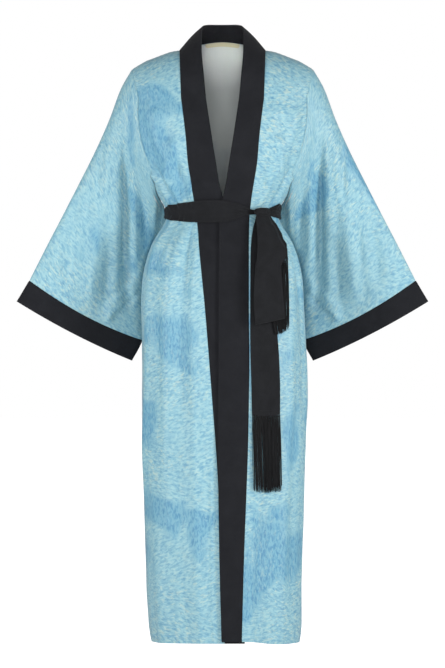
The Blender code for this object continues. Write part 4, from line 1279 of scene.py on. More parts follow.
# %% [markdown]
# ## The label's place
#
# The blank label is sewn flat to the inside of the back, just under the neckband's seam. It takes its shape
# from the back itself: the same surface, a wall's thickness further in.

# %% The label's grid
# The two walls, the label's place and width as shares of the yoke and of half the back, and how far its ends
# are rounded
BACK_WALL = 1.0
LABEL_WALL = 0.7
LABEL_PARTS = (0.05, 0.24)
LABEL_SHARE = 0.124
LABEL_ROWS = 20
LABEL_COLUMNS = 40
LABEL_CORNER = 0.12


def label_face():
    """The label's outer face: the inside of the back, between its own rows and columns."""
    inner = raw_back - (BACK_WALL + LAY_GAP) * grid_normals(raw_back, False, axis_of(raw_back))
    rows = np.linspace(*LABEL_PARTS, LABEL_ROWS + 1) * YOKE_STEPS
    middle = inner.shape[1] // 2
    half = LABEL_SHARE / NECK_SHARE * NECK_COLUMNS
    low = np.floor(rows).astype(int)
    between = (rows - low)[:, None, None]
    level = inner[low] * (1.0 - between) + inner[low + 1] * between
    along = np.arange(inner.shape[1])
    ends = 1.0 - LABEL_CORNER * np.linspace(-1.0, 1.0, LABEL_ROWS + 1) ** 6
    read = []
    for row, end in zip(level, ends):
        columns = middle + half * end * np.linspace(-1.0, 1.0, LABEL_COLUMNS + 1)
        read.append([np.interp(columns, along, row[:, axis]) for axis in range(3)])
    return np.moveaxis(np.array(read), 1, 2)


label_grid = label_face()
label_width, label_depth = run_lengths(label_grid, 1)[0, -1], run_lengths(label_grid, 0)[-1, 0]
print("label:", round(label_width), "by", round(label_depth), "mm")

# %% [markdown]
# ## Shader groups
#
# Several finishes share an effect, so each effect is a node group, built once. `threads` is the crossing of
# warp and weft that catches the light on any woven cloth. `crumple` is the soft unevenness of cloth that has
# been worn. The black crepe also takes its colour from it, darker in the dents and lighter on their rises, as
# painted shade. `brush_dabs` is the print: dabs of a wide dry brush that turn this way and that from one part
# of the cloth to the next. It is a plain mottle of this lesson's own.

# %% Helpers for node trees
def add_node(tree, kind, inputs=(), **settings):
    """A node with its settings, and its inputs either set or linked."""
    node = tree.nodes.new(kind)
    for name, value in settings.items():
        setattr(node, name, value)
    for name, value in dict(inputs).items():
        if isinstance(value, bpy.types.NodeSocket):
            tree.links.new(value, node.inputs[name])
        else:
            node.inputs[name].default_value = value
    return node


def work_out(tree, operation, first, second=0.0, third=0.0):
    """One step of arithmetic, as the output of a Math node."""
    return add_node(tree, "ShaderNodeMath", {0: first, 1: second, 2: third}, operation=operation).outputs[0]


def new_group(name, inputs, outputs):
    """An empty shader group, with its inputs' outlets and its outputs' inlets."""
    group = bpy.data.node_groups.new(name, "ShaderNodeTree")
    for label, kind, value in inputs:
        socket = group.interface.new_socket(label, in_out="INPUT", socket_type=kind)
        if value is not None:
            socket.default_value = value
    for label in outputs:
        group.interface.new_socket(label, in_out="OUTPUT", socket_type="NodeSocketFloat")
    return group, group.nodes.new("NodeGroupInput").outputs, group.nodes.new("NodeGroupOutput").inputs


def use_group(tree, group, inputs):
    """A group placed in a tree, with its inputs set or linked."""
    return add_node(tree, "ShaderNodeGroup", inputs, node_tree=group)


def noise(tree, vector, scale, detail, wobble=0.0):
    """A cloudy value at each place, with finer clouds in it as the detail asks."""
    inputs = {"Vector": vector, "Scale": scale, "Detail": detail, "Distortion": wobble}
    return add_node(tree, "ShaderNodeTexNoise", inputs).outputs[0]


# %% Threads of a weave
def build_threads():
    """Warp and weft as rounded ridges, whose height comes out."""
    group, given, out = new_group(
        "threads",
        [
            ("Cloth", "NodeSocketVector", None),
            ("Warp Threads", "NodeSocketFloat", 1800.0),
            ("Weft Threads", "NodeSocketFloat", 1100.0),
            ("Unevenness", "NodeSocketFloat", 0.4),
        ],
        ["Height"],
    )
    place = add_node(group, "ShaderNodeSeparateXYZ", {0: given["Cloth"]}).outputs
    slub = noise(group, given["Cloth"], 420.0, 2.0)
    warp = work_out(group, "SINE", work_out(group, "MULTIPLY", place["X"], given["Warp Threads"]))
    weft = work_out(group, "SINE", work_out(group, "MULTIPLY", place["Y"], given["Weft Threads"]))
    crossed = work_out(group, "MULTIPLY", warp, weft)
    slubs = work_out(group, "MULTIPLY", slub, given["Unevenness"])
    group.links.new(work_out(group, "MULTIPLY_ADD", crossed, 0.25, slubs), out["Height"])
    return group


threads = build_threads()
print("group:", threads.name)

# %% Soft crumple
def build_crumple():
    """Broad soft dents and finer wrinkles, whose height comes out."""
    group, given, out = new_group(
        "crumple",
        [
            ("Cloth", "NodeSocketVector", None),
            ("Scale", "NodeSocketFloat", 30.0),
            ("Fine", "NodeSocketFloat", 0.3),
        ],
        ["Height"],
    )
    broad = noise(group, given["Cloth"], given["Scale"], 1.0, 0.6)
    finer = work_out(group, "MULTIPLY", given["Scale"], 4.5)
    fine = noise(group, given["Cloth"], finer, 1.0, 0.3)
    group.links.new(work_out(group, "MULTIPLY_ADD", fine, given["Fine"], broad), out["Height"])
    return group


crumple = build_crumple()
print("group:", crumple.name)

# %% Brush dabs
# The dabs' directions (degrees), the scales of the regions that hold them, and where a region's edge lies in
# the noise
DAB_TURNS = (-15.0, 3.0, 20.0, 86.0)
DAB_REGIONS = (9.0, 6.0)
REGION_EDGE = (0.46, 0.54)

# The broad patches and the bold parts of the cloth: the scale of their noise and where their edges lie in it.
# Outside the bold parts, dabs keep only the least share of their strength
PATCH_SCALE = 5.5
PATCH_EDGE = (0.47, 0.40)
BOLD_SCALE = 4.0
BOLD_EDGE = (0.38, 0.60)
BOLD_LEAST = 0.35
DAB_TONES = [
    # name, its layer of the noise, detail, where it begins and where it is full
    ("Ground", 0.0, 3.0, 0.28, 0.72),
    ("Pale", 7.3, 1.5, 0.53, 0.68),
    ("Blue", 15.1, 2.0, 0.50, 0.35),
]


def stepped(tree, value, begin, full):
    """0 before a value begins, 1 where it is full, and a soft rise between."""
    inputs = {"Value": value, "From Min": begin, "From Max": full}
    return add_node(tree, "ShaderNodeMapRange", inputs, interpolation_type="SMOOTHSTEP").outputs[0]


def turned_places(group, cloth_place, size):
    """The place on the cloth turned each way and measured in dabs."""
    places = []
    for turn in DAB_TURNS:
        inputs = {"Vector": cloth_place, "Angle": np.radians(turn)}
        turned = add_node(group, "ShaderNodeVectorRotate", inputs, rotation_type="Z_AXIS").outputs[0]
        scaled = add_node(group, "ShaderNodeVectorMath", {0: turned, 1: size}, operation="MULTIPLY")
        places.append(scaled.outputs[0])
    return places


def dab_tone(group, places, regions, depth, detail):
    """Dabs from one layer of the noise, which turn from region to region."""
    tone = None
    for place, region in zip(places, [None, *regions]):
        layer = add_node(group, "ShaderNodeVectorMath", {0: place, 1: (0.0, 0.0, depth)}, operation="ADD")
        value = noise(group, layer.outputs[0], 1.0, detail, 0.7)
        tone = add_node(group, "ShaderNodeMix", {0: region, 2: tone, 3: value}).outputs[0] if tone else value
    return tone


def build_brush_dabs():
    """Soft short dabs that turn with the place on the cloth: a ground, pale and blue ones, and patches."""
    group, given, out = new_group(
        "brush_dabs",
        [
            ("Cloth", "NodeSocketVector", None),
            ("Dab Length", "NodeSocketFloat", 0.0115),
            ("Dab Width", "NodeSocketFloat", 0.0048),
        ],
        ["Ground", "Pale", "Blue", "Patch"],
    )
    patch = stepped(group, noise(group, given["Cloth"], PATCH_SCALE, 2.0, 0.6), *PATCH_EDGE)
    regions = [
        stepped(group, noise(group, given["Cloth"], scale, 1.0), *REGION_EDGE) for scale in DAB_REGIONS
    ]
    along = work_out(group, "DIVIDE", 1.0, given["Dab Length"])
    across = work_out(group, "DIVIDE", 1.0, given["Dab Width"])
    size = add_node(group, "ShaderNodeCombineXYZ", {0: along, 1: across}).outputs[0]
    places = turned_places(group, given["Cloth"], size)
    boldness = stepped(group, noise(group, given["Cloth"], BOLD_SCALE, 1.0), *BOLD_EDGE)
    strength = work_out(group, "MULTIPLY_ADD", boldness, 1.0 - BOLD_LEAST, BOLD_LEAST)
    for label, depth, detail, begin, full in DAB_TONES:
        tone = dab_tone(group, places, [*regions, patch], depth, detail)
        shown = stepped(group, tone, begin, full)
        if label != "Ground":
            shown = work_out(group, "MULTIPLY", shown, strength)
        group.links.new(shown, out[label])
    group.links.new(patch, out["Patch"])
    return group


brush_dabs = build_brush_dabs()
print("group:", brush_dabs.name, "with", len(DAB_TURNS), "directions")

# %% [markdown]
# ## Finishes
#
# Every finish is a material with nodes. The patterns follow each piece's own UV map, which lays its cut out
# flat in real metres, so a dab or a thread has the same size on a sleeve as on a hem, and no pattern slides.

# %% Helpers for finishes
def paint(red, green, blue):
    """A colour as it shows on a screen, 0 to 255, as the linear colour that shaders use."""
    shown = np.array([red, green, blue]) / 255.0
    linear = np.where(shown <= 0.04045, shown / 12.92, ((shown + 0.055) / 1.055) ** 2.4)
    return (*(float(part) for part in linear), 1.0)


def new_finish(name, roughness, specular):
    material = bpy.data.materials.new(name)
    material.use_nodes = True
    tree = material.node_tree
    shader = tree.nodes["Principled BSDF"]
    shader.inputs["Roughness"].default_value = roughness
    shader.inputs["Specular IOR Level"].default_value = specular
    return material, tree, shader


def on_the_cut(tree):
    """Where a point of the surface lies on its piece's flat cut."""
    return add_node(tree, "ShaderNodeUVMap", uv_map="cut").outputs[0]


def raise_surface(tree, shader, *heights):
    """Bumps on a surface, each a height from 0 to 1 and its depth in millimetres."""
    normal = None
    for height, depth in heights:
        inputs = {"Height": height, "Distance": depth * MM}
        if normal is not None:
            inputs["Normal"] = normal
        normal = add_node(tree, "ShaderNodeBump", inputs).outputs[0]
    tree.links.new(normal, shader.inputs["Normal"])


def mix_colour(tree, share, first, second, blend="MIX"):
    inputs = {0: share, 6: first, 7: second}
    return add_node(tree, "ShaderNodeMix", inputs, data_type="RGBA", blend_type=blend).outputs[2]


def colour_ramp(tree, value, stops):
    """A colour for each value, read between stops of place and colour."""
    ramp = add_node(tree, "ShaderNodeValToRGB", {0: value})
    while len(ramp.color_ramp.elements) < len(stops):
        ramp.color_ramp.elements.new(0.5)
    for element, (place, colour) in zip(ramp.color_ramp.elements, stops):
        element.position = place
        element.color = colour
    return ramp.outputs[0]


def woven(tree, cloth_place, warp, weft, unevenness=0.4):
    """The height of a weave with these many warp and weft ridges."""
    inputs = {"Cloth": cloth_place, "Warp Threads": warp, "Weft Threads": weft, "Unevenness": unevenness}
    return use_group(tree, threads, inputs).outputs[0]


def worn(tree, cloth_place, scale, fine):
    """The height of the dents and wrinkles of worn cloth."""
    return use_group(tree, crumple, {"Cloth": cloth_place, "Scale": scale, "Fine": fine}).outputs[0]


print("mid blue of the print, linear:", [round(part, 3) for part in paint(150, 201, 221)[:3]])

# %% Printed satin
def satin_surface(tree, shader, cloth_place, dent_depth, weave_depth):
    """The dents and the fine weave that both faces of the satin have."""
    dents, weave = worn(tree, cloth_place, 24.0, 0.25), woven(tree, cloth_place, 900.0, 700.0)
    raise_surface(tree, shader, (dents, dent_depth), (weave, weave_depth))


def build_printed_satin():
    """Soft blue satin with its print of brush dabs."""
    material, tree, shader = new_finish("printed_satin", 0.5, 0.35)
    cloth_place = on_the_cut(tree)
    dabs = use_group(tree, brush_dabs, {"Cloth": cloth_place}).outputs
    ground = colour_ramp(
        tree, dabs["Ground"],
        [
            (0.0, paint(102, 151, 174)),
            (0.35, paint(124, 169, 185)),
            (0.6, paint(138, 180, 190)),
            (1.0, paint(150, 187, 193)),
        ],
    )
    patch_share = work_out(tree, "MULTIPLY", dabs["Patch"], 0.8)
    blue_share = work_out(tree, "MULTIPLY", dabs["Blue"], 0.5)
    pale_most = work_out(tree, "MULTIPLY_ADD", dabs["Patch"], -0.3, 0.5)
    pale_share = work_out(tree, "MULTIPLY", dabs["Pale"], pale_most)
    colour = mix_colour(tree, patch_share, ground, paint(186, 218, 238), "MULTIPLY")
    colour = mix_colour(tree, blue_share, colour, paint(76, 133, 166))
    colour = mix_colour(tree, pale_share, colour, paint(184, 201, 186))
    tree.links.new(colour, shader.inputs["Base Color"])
    sheen = add_node(tree, "ShaderNodeMapRange", {"Value": dabs["Ground"], "To Min": 0.46, "To Max": 0.54})
    tree.links.new(sheen.outputs[0], shader.inputs["Roughness"])
    satin_surface(tree, shader, cloth_place, 1.6, 0.05)
    shader.inputs["Sheen Weight"].default_value = 0.12
    shader.inputs["Sheen Roughness"].default_value = 0.4
    return material


printed_satin = build_printed_satin()
print("finish:", printed_satin.name)

# %% The satin's pale reverse
def build_pale_reverse():
    """The unprinted back of the satin, through which the print's broad patches show faintly."""
    material, tree, shader = new_finish("pale_reverse", 0.62, 0.25)
    cloth_place = on_the_cut(tree)
    patch = use_group(tree, brush_dabs, {"Cloth": cloth_place}).outputs["Patch"]
    colour = colour_ramp(tree, patch, [(0.0, paint(190, 196, 195)), (1.0, paint(182, 190, 192))])
    tree.links.new(colour, shader.inputs["Base Color"])
    satin_surface(tree, shader, cloth_place, 1.2, 0.06)
    return material


pale_reverse = build_pale_reverse()
print("finish:", pale_reverse.name)

# %% Black crepe, for the bands and the belt
def build_crepe(name, dark, light, dent_scale, dent_depth):
    """A matt black crepe, whose twisted threads give it a pebbled grain, and whose colour is darker in its
    dents as painted shade.
    """
    material, tree, shader = new_finish(name, 0.8, 0.10)
    cloth_place = on_the_cut(tree)
    grain = noise(tree, cloth_place, 950.0, 2.0)
    dents = worn(tree, cloth_place, dent_scale, 0.35)
    weave = woven(tree, cloth_place, 800.0, 640.0, 0.9)
    # The tone is the grain's own random tone plus painted shade: darker in the dents, lighter on their rises.
    tone = work_out(tree, "MULTIPLY_ADD", grain, 0.45, work_out(tree, "MULTIPLY", dents, 0.45))
    tree.links.new(colour_ramp(tree, tone, [(0.3, dark), (0.75, light)]), shader.inputs["Base Color"])
    raise_surface(tree, shader, (dents, dent_depth), (weave, 0.10), (grain, 0.12))
    shader.inputs["Sheen Weight"].default_value = 0.03
    shader.inputs["Sheen Roughness"].default_value = 0.6
    return material


band_crepe = build_crepe("band_crepe", paint(20, 21, 25), paint(30, 31, 35), 22.0, 1.4)
belt_crepe = build_crepe("belt_crepe", paint(19, 20, 22), paint(30, 31, 34), 34.0, 1.6)
print("finishes:", band_crepe.name, belt_crepe.name)

# %% Thread, yarn and the label's weave
def build_thread(name, colour):
    """Sewing thread with a fine fuzz, lighter where the fuzz stands up."""
    material, tree, shader = new_finish(name, 0.55, 0.3)
    fuzz = noise(tree, add_node(tree, "ShaderNodeTexCoord").outputs["Object"], 1600.0, 1.0)
    light = tuple(min(1.0, 1.35 * part) for part in colour[:3]) + (1.0,)
    tree.links.new(colour_ramp(tree, fuzz, [(0.35, colour), (0.65, light)]), shader.inputs["Base Color"])
    raise_surface(tree, shader, (fuzz, 0.08))
    return material


def build_yarn():
    """Silky black yarn, which shines a little along its length."""
    material, tree, shader = new_finish("fringe_yarn", 0.6, 0.2)
    place = add_node(tree, "ShaderNodeTexCoord").outputs["Object"]
    lengthwise = add_node(tree, "ShaderNodeMapping", {"Vector": place, "Scale": (900.0, 900.0, 60.0)})
    fibre = noise(tree, lengthwise.outputs[0], 1.0, 2.0)
    colour = colour_ramp(tree, fibre, [(0.3, paint(5, 6, 8)), (0.7, paint(14, 15, 18))])
    tree.links.new(colour, shader.inputs["Base Color"])
    raise_surface(tree, shader, (fibre, 0.12))
    return material


def build_label_weave():
    """A plain tan weave, left blank."""
    material, tree, shader = new_finish("label_weave", 0.7, 0.25)
    weave = woven(tree, on_the_cut(tree), 1500.0, 1100.0, 0.6)
    colour = colour_ramp(tree, weave, [(0.0, paint(172, 167, 138)), (0.6, paint(196, 191, 160))])
    tree.links.new(colour, shader.inputs["Base Color"])
    raise_surface(tree, shader, (weave, 0.15))
    return material


blue_thread = build_thread("blue_thread", paint(126, 178, 202))
black_thread = build_thread("black_thread", paint(26, 27, 30))
tan_thread = build_thread("tan_thread", paint(120, 116, 92))
fringe_yarn = build_yarn()
label_weave = build_label_weave()
print("finishes:", len(bpy.data.materials), "materials in the file")

# %% [markdown]
# ## From a grid to a piece of cloth
#
# One helper makes each piece. It turns the grid into faces that point outwards, writes the UV map from real
# lengths along the rows and columns, and gives the cloth its thickness with a Solidify modifier, inwards from
# the outer surface. The inner wall of a panel takes the second finish, the satin's reverse.

# %% Make a piece of cloth
ROBE = "root"


def ride(piece):
    """Puts a finished piece on the robe's one body."""
    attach(piece, ROBE)
    return piece


# The four corners of every square of a grid, in order round it
EARLY, LATE = slice(None, -1), slice(1, None)
SQUARE = [(EARLY, EARLY), (EARLY, LATE), (LATE, LATE), (LATE, EARLY)]


def closed(points):
    """A grid with its first column again at the end."""
    return np.concatenate([points, points[:, :1]], axis=1)


def skin(name, points, around, across, down, corners, finishes):
    """A grid of points as faces, laid out flat in its UV map by its lengths across and down."""
    number = np.arange(points.shape[0] * points.shape[1]).reshape(points.shape[:2])
    number = closed(number) if around else number
    faces = np.stack([number[corner].ravel() for corner in corners], axis=1)
    cut = np.stack(np.broadcast_arrays(across, down), axis=-1) * MM
    laid_out = np.stack([cut[corner].reshape(-1, 2) for corner in corners], axis=1)
    mesh = bpy.data.meshes.new(name)
    mesh.from_pydata((points.reshape(-1, 3) * MM).tolist(), [], faces.tolist())
    mesh.uv_layers.new(name="cut").data.foreach_set("uv", laid_out.ravel())
    mesh.shade_smooth()
    for finish in finishes:
        mesh.materials.append(finish)
    piece = bpy.data.objects.new(name, mesh)
    bpy.context.scene.collection.objects.link(piece)
    return piece


def cloth(name, points, inside, wall, finishes, around=False, cut_from=(0.0, 0.0), rounded=0.0):
    """A piece of cloth of a wall's thickness, on a grid of outer points in millimetres."""
    spread = closed(points) if around else points
    first, beside, _, below = (spread[corner] for corner in SQUARE)
    square = np.cross(beside - first, below - first)
    away = (points - inside)[: square.shape[0], : square.shape[1]]
    corners = SQUARE[::-1] if (square * away).sum() < 0.0 else SQUARE
    across = run_lengths(spread, 1)
    across = across - across[:, across.shape[1] // 2][:, None] + cut_from[0]
    down = cut_from[1] - run_lengths(spread, 0).mean(axis=1, keepdims=True)
    piece = skin(name, points, around, across, down, corners, finishes)
    thick = piece.modifiers.new("thickness", "SOLIDIFY")
    thick.thickness = wall * MM
    thick.offset = -1.0
    thick.material_offset = len(finishes) - 1
    if rounded:
        edge = piece.modifiers.new("folded_edge", "BEVEL")
        edge.width = rounded * MM
        edge.segments = 2
        edge.angle_limit = np.radians(60.0)
    return piece


def flat_size(name):
    """The area of a piece's outer face in square metres, to print beside its cut."""
    mesh = bpy.data.objects[name].data
    return sum(face.area for face in mesh.polygons)


# %% The panels
# The two faces of the printed cloth
SATIN = (printed_satin, pale_reverse)
PANELS = [
    # name, grid, where its cut starts on the printed cloth (mm)
    ("back", back, (0.0, 0.0)),
    ("front_left", front_left, (310.0, 40.0)),
    ("front_right", front_right, (-330.0, 90.0)),
]
for name, grid, cut_from in PANELS:
    panel = cloth(f"{name}_cloth", grid, axis_of(grid), BACK_WALL, SATIN, cut_from=cut_from)
    ride(panel)
    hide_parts(f"{name}_panel")
    print(panel.name, round(flat_size(panel.name), 3), "m2")

# %% The sleeves
SIDES = (("left", 1), ("right", -1))
SLEEVE_WALL = 0.5
SLEEVE_CUTS = {1: (700.0, 95.0), -1: (-700.0, 25.0)}
for word, side in SIDES:
    grid = np.roll(sleeve_grids[side], sleeve_grids[side].shape[1] // 2, axis=1)
    sleeve = cloth(
        f"sleeve_{word}_cloth", grid, middle_of(grid), SLEEVE_WALL, SATIN, around=True,
        cut_from=SLEEVE_CUTS[side],
    )
    ride(sleeve)
    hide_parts(f"sleeve_{word}")
    print(sleeve.name, round(flat_size(sleeve.name), 3), "m2")

# %% The cuffs and the neckband
CUFF_WALL = 2.2
CUFF_RISE = 0.5
BAND_WALL = 2.4
BAND_RISE = 0.6
FOLDED_EDGE = 0.9
CUFF_CUTS = {1: (300.0, 500.0), -1: (-300.0, 500.0)}


def raised(points, inside, rise, around=False):
    return points + rise * grid_normals(points, around, inside)


for word, side in SIDES:
    grid = np.roll(cuff_grids[side], cuff_grids[side].shape[1] // 2, axis=1)
    grid = sewn_edges(grid, middle_of(grid), ("top",), around=True)
    grid = raised(grid, middle_of(grid), CUFF_RISE, around=True)
    cuff = cloth(
        f"cuff_{word}_band", grid, middle_of(grid), CUFF_WALL, (band_crepe,), around=True,
        cut_from=CUFF_CUTS[side], rounded=FOLDED_EDGE,
    )
    ride(cuff)
    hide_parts(f"cuff_{word}")
    print(cuff.name, round(flat_size(cuff.name), 4), "m2")

band = sewn_edges(band, axis_of(band), ("first",), [("top", HEM_DEPTH), ("bottom", HEM_DEPTH)])
band = raised(band, axis_of(band), BAND_RISE)
neckband_piece = cloth("neckband_folded", band, axis_of(band), BAND_WALL, (band_crepe,), rounded=FOLDED_EDGE)
ride(neckband_piece)
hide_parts("neckband_left", "neckband_right", "neckband_back")
print(neckband_piece.name, round(flat_size(neckband_piece.name), 4), "m2")

# %% The belt, its ends and its loop
STRIP_EDGE = 0.6


def middle_of_all(points):
    """The middle of a whole grid, at each of its points."""
    return np.broadcast_to(points.mean(axis=(0, 1)), points.shape)


BELT_PIECES = [
    # name, grid, the points inside it, node, whether it closes, where its cut starts
    ("belt_round_waist", belt, axis_of(belt), "belt_waist", True, (0.0, 0.0)),
    ("belt_end_long", long_tail, axis_of(long_tail), "belt_tail_long", False, (900.0, 200.0)),
    ("belt_end_short", short_tail, axis_of(short_tail), "belt_tail_short", False, (1300.0, 200.0)),
    ("belt_bow_loop", loop_strip, middle_of_all(loop_strip), "belt_loop", False, (1700.0, 200.0)),
]
for name, grid, inside, node, closes, cut_from in BELT_PIECES:
    strip = cloth(
        name, grid, inside, BELT_WALL, (belt_crepe,), around=closes, cut_from=cut_from, rounded=STRIP_EDGE
    )
    ride(strip)
    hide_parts(node)
    print(strip.name, round(flat_size(strip.name), 4), "m2")

# %% The label
label = cloth("blank_label", label_grid, axis_of(label_grid), LABEL_WALL, (label_weave,))
ride(label)
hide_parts("neck_label")
print(label.name, round(flat_size(label.name) * 1e4, 1), "cm2")

# %% The knot's mesh
SAME_PLACE = 0.001


def closed_lump(name, points, finish):
    """A closed mesh from rows of points whose first and last rows are single places."""
    down = run_lengths(points, 0).mean(axis=1, keepdims=True)
    lump = skin(name, points, True, run_lengths(closed(points), 1), down, SQUARE, (finish,))
    build = bmesh.new()
    build.from_mesh(lump.data)
    bmesh.ops.remove_doubles(build, verts=build.verts, dist=SAME_PLACE * MM)
    bmesh.ops.recalc_face_normals(build, faces=build.faces)
    build.to_mesh(lump.data)
    build.free()
    return lump


knot_piece = ride(closed_lump("belt_wound_knot", knot_grid, belt_crepe))
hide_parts("belt_knot")
print(knot_piece.name, len(knot_piece.data.polygons), "faces")

# %% [markdown]
# ## Stitches
#
# A row of stitches is one small shape set down again and again along a path, which is what Geometry Nodes do
# best. The tree resamples a path at the stitch's pitch, lays a stitch along it at each point, and joins them.
# The paths are read from the grids of the pieces, just above their surface.

# %% The tree for a row of stitches
def new_tree(name, inputs, output):
    """An empty tree with named inputs, its inputs' outlets and its output's inlet."""
    tree = bpy.data.node_groups.new(name, "GeometryNodeTree")
    for label, kind in inputs:
        tree.interface.new_socket(label, in_out="INPUT", socket_type=f"NodeSocket{kind}")
    tree.interface.new_socket(output, in_out="OUTPUT", socket_type="NodeSocketGeometry")
    return tree, tree.nodes.new("NodeGroupInput").outputs, tree.nodes.new("NodeGroupOutput").inputs[output]


def put_out(tree, grown, material, result):
    """Makes what has grown into real faces, smooth and of one material, and puts it out."""
    joined = add_node(tree, "GeometryNodeRealizeInstances", {0: grown}).outputs[0]
    smooth = add_node(tree, "GeometryNodeSetShadeSmooth", {0: joined}).outputs[0]
    done = add_node(tree, "GeometryNodeSetMaterial", {"Geometry": smooth, "Material": material}).outputs[0]
    tree.links.new(done, result)


def build_stitch_tree():
    """Sets one small bead of thread after the other along each path."""
    inputs = [("Paths", "Geometry"), ("Pitch", "Float"), ("Length", "Float"), ("Thickness", "Float")]
    tree, given, result = new_tree("row_of_stitches", [*inputs, ("Thread", "Material")], "Stitches")
    curve = add_node(tree, "GeometryNodeMeshToCurve", {"Mesh": given["Paths"]}).outputs[0]
    even = add_node(
        tree, "GeometryNodeResampleCurve", {"Curve": curve, "Length": given["Pitch"]}, mode="LENGTH"
    ).outputs[0]
    bead = add_node(tree, "GeometryNodeMeshUVSphere", {"Segments": 6, "Rings": 4, "Radius": 0.5}).outputs[0]
    size = add_node(
        tree, "ShaderNodeCombineXYZ", {0: given["Length"], 1: given["Thickness"], 2: given["Thickness"]}
    ).outputs[0]
    shaped = add_node(tree, "GeometryNodeTransform", {"Geometry": bead, "Scale": size}).outputs[0]
    tangent = tree.nodes.new("GeometryNodeInputTangent").outputs[0]
    lie = add_node(tree, "FunctionNodeAlignRotationToVector", {"Vector": tangent}, axis="X").outputs[0]
    rows = add_node(
        tree, "GeometryNodeInstanceOnPoints", {"Points": even, "Instance": shaped, "Rotation": lie}
    ).outputs[0]
    put_out(tree, rows, given["Thread"], result)
    return tree


stitch_tree = build_stitch_tree()
print("tree:", stitch_tree.name, "with", len(stitch_tree.nodes), "nodes")

# %% Grow a piece from paths
def paths_mesh(name, paths, thickness=None):
    """A mesh of edges only, one line for each path of points in millimetres."""
    points, edges, sizes = [], [], []
    for number, path in enumerate(paths):
        first = len(points)
        points.extend((np.asarray(path) * MM).tolist())
        edges.extend((first + step, first + step + 1) for step in range(len(path) - 1))
        if thickness is not None:
            sizes.extend((np.asarray(thickness[number]) * MM).tolist())
    mesh = bpy.data.meshes.new(name)
    mesh.from_pydata(points, edges, [])
    if sizes:
        mesh.attributes.new("thickness", "FLOAT", "POINT").data.foreach_set("value", sizes)
    return mesh


def grow(name, tree, paths, inputs, thickness=None):
    """What a tree grows along these paths, as a plain mesh object."""
    piece = bpy.data.objects.new(name, paths_mesh(name, paths, thickness))
    bpy.context.scene.collection.objects.link(piece)
    grower = piece.modifiers.new("grower", "NODES")
    grower.node_group = tree
    for item in tree.interface.items_tree:
        if item.in_out == "INPUT" and item.name in inputs:
            grower[item.identifier] = inputs[item.name]
    evaluated = piece.evaluated_get(bpy.context.evaluated_depsgraph_get())
    grown = bpy.data.meshes.new_from_object(evaluated)
    piece.modifiers.remove(grower)
    piece.data = grown
    grown.name = name
    return piece


# %% Where the stitches run
PITCH = 3.2
STITCH = 2.5
THREAD = 0.42
ABOVE = 0.12

# How far a row runs from a seam, from a folded edge, from the belt's edges and from the label's
FROM_SEAM = 3.4
FROM_FOLD = 3.0
FROM_BELT_EDGE = 2.4
FROM_LABEL_EDGE = 1.2


def row_at(points, inside, edge, distance, around=False):
    """The line at a distance from one edge of a grid, just above its surface."""
    up = points + ABOVE * grid_normals(points, around, inside)
    if edge in ("top", "bottom"):
        away = run_lengths(points, 0)
    else:
        up, away = up.swapaxes(0, 1), run_lengths(points, 1).T
    if edge in ("bottom", "last"):
        up, away = up[::-1], (away[-1:] - away)[::-1]
    line = np.array([
        [np.interp(distance, away[:, number], up[:, number, axis]) for axis in range(3)]
        for number in range(up.shape[1])
    ])
    return np.concatenate([line, line[:1]]) if around else line


def rows_on(points, inside, edges, around=False):
    return [row_at(points, inside, edge, distance, around) for edge, distance in edges]


hem_row = [("bottom", HEM_DEPTH - STITCH_FROM_EDGE)]
strip_sides = [("first", FROM_BELT_EDGE), ("last", FROM_BELT_EDGE)]
strip_edges = strip_sides + [("bottom", STRIP_HEM - STITCH_FROM_EDGE)]
blue_rows = []
for grid in (back, front_left, front_right):
    blue_rows += rows_on(grid, axis_of(grid), hem_row)
black_rows = rows_on(band, axis_of(band), [("first", FROM_SEAM), ("last", FROM_FOLD)])
for grid in cuff_grids.values():
    sewn = raised(grid, middle_of(grid), CUFF_RISE, around=True)
    black_rows += rows_on(sewn, middle_of(sewn), [("top", FROM_SEAM), ("bottom", FROM_FOLD)], around=True)
belt_edges = [("top", FROM_BELT_EDGE), ("bottom", FROM_BELT_EDGE)]
black_rows += rows_on(belt, axis_of(belt), belt_edges, around=True)
for grid in (long_tail, short_tail):
    black_rows += rows_on(grid, axis_of(grid), strip_edges)
black_rows += rows_on(loop_strip, loop_strip.mean(axis=(0, 1)), strip_sides)
label_edges = [(edge, FROM_LABEL_EDGE) for edge in ("top", "bottom", "first", "last")]
label_rows = rows_on(label_grid, axis_of(label_grid), label_edges)

STITCHES = [
    ("stitches_on_satin", blue_rows, blue_thread, "blue_satin"),
    ("stitches_on_crepe", black_rows, black_thread, "black_crepe"),
    ("stitches_on_label", label_rows, tan_thread, "tan_label"),
]
for name, rows, thread, slot in STITCHES:
    sizes = {"Pitch": PITCH * MM, "Length": STITCH * MM, "Thickness": THREAD * MM, "Thread": thread}
    stitches = ride(grow(name, stitch_tree, rows, sizes))
    print(stitches.name, len(stitches.data.polygons), "faces")

# %% [markdown]
# ## The fringe
#
# Each end of the belt is finished with long silky yarns. They hang in small bunches, so they start together
# at the hem and drift apart lower down, and no two are quite as long. A second tree sweeps a small round
# section along every yarn's path, thinner towards its end.

# %% The tree for yarns
def build_yarn_tree():
    """Sweeps a small round section along each path, as thick as the path says."""
    inputs = [("Paths", "Geometry"), ("Sides", "Int"), ("Yarn", "Material")]
    tree, given, result = new_tree("hanging_yarns", inputs, "Yarns")
    curve = add_node(tree, "GeometryNodeMeshToCurve", {"Mesh": given["Paths"]}).outputs[0]
    thickness = add_node(
        tree, "GeometryNodeInputNamedAttribute", {"Name": "thickness"}, data_type="FLOAT"
    ).outputs[0]
    section = add_node(
        tree, "GeometryNodeCurvePrimitiveCircle", {"Resolution": given["Sides"], "Radius": 0.5}, mode="RADIUS"
    ).outputs[0]
    sweep = add_node(
        tree, "GeometryNodeCurveToMesh",
        {"Curve": curve, "Profile Curve": section, "Scale": thickness, "Fill Caps": True},
    ).outputs[0]
    put_out(tree, sweep, given["Yarn"], result)
    return tree


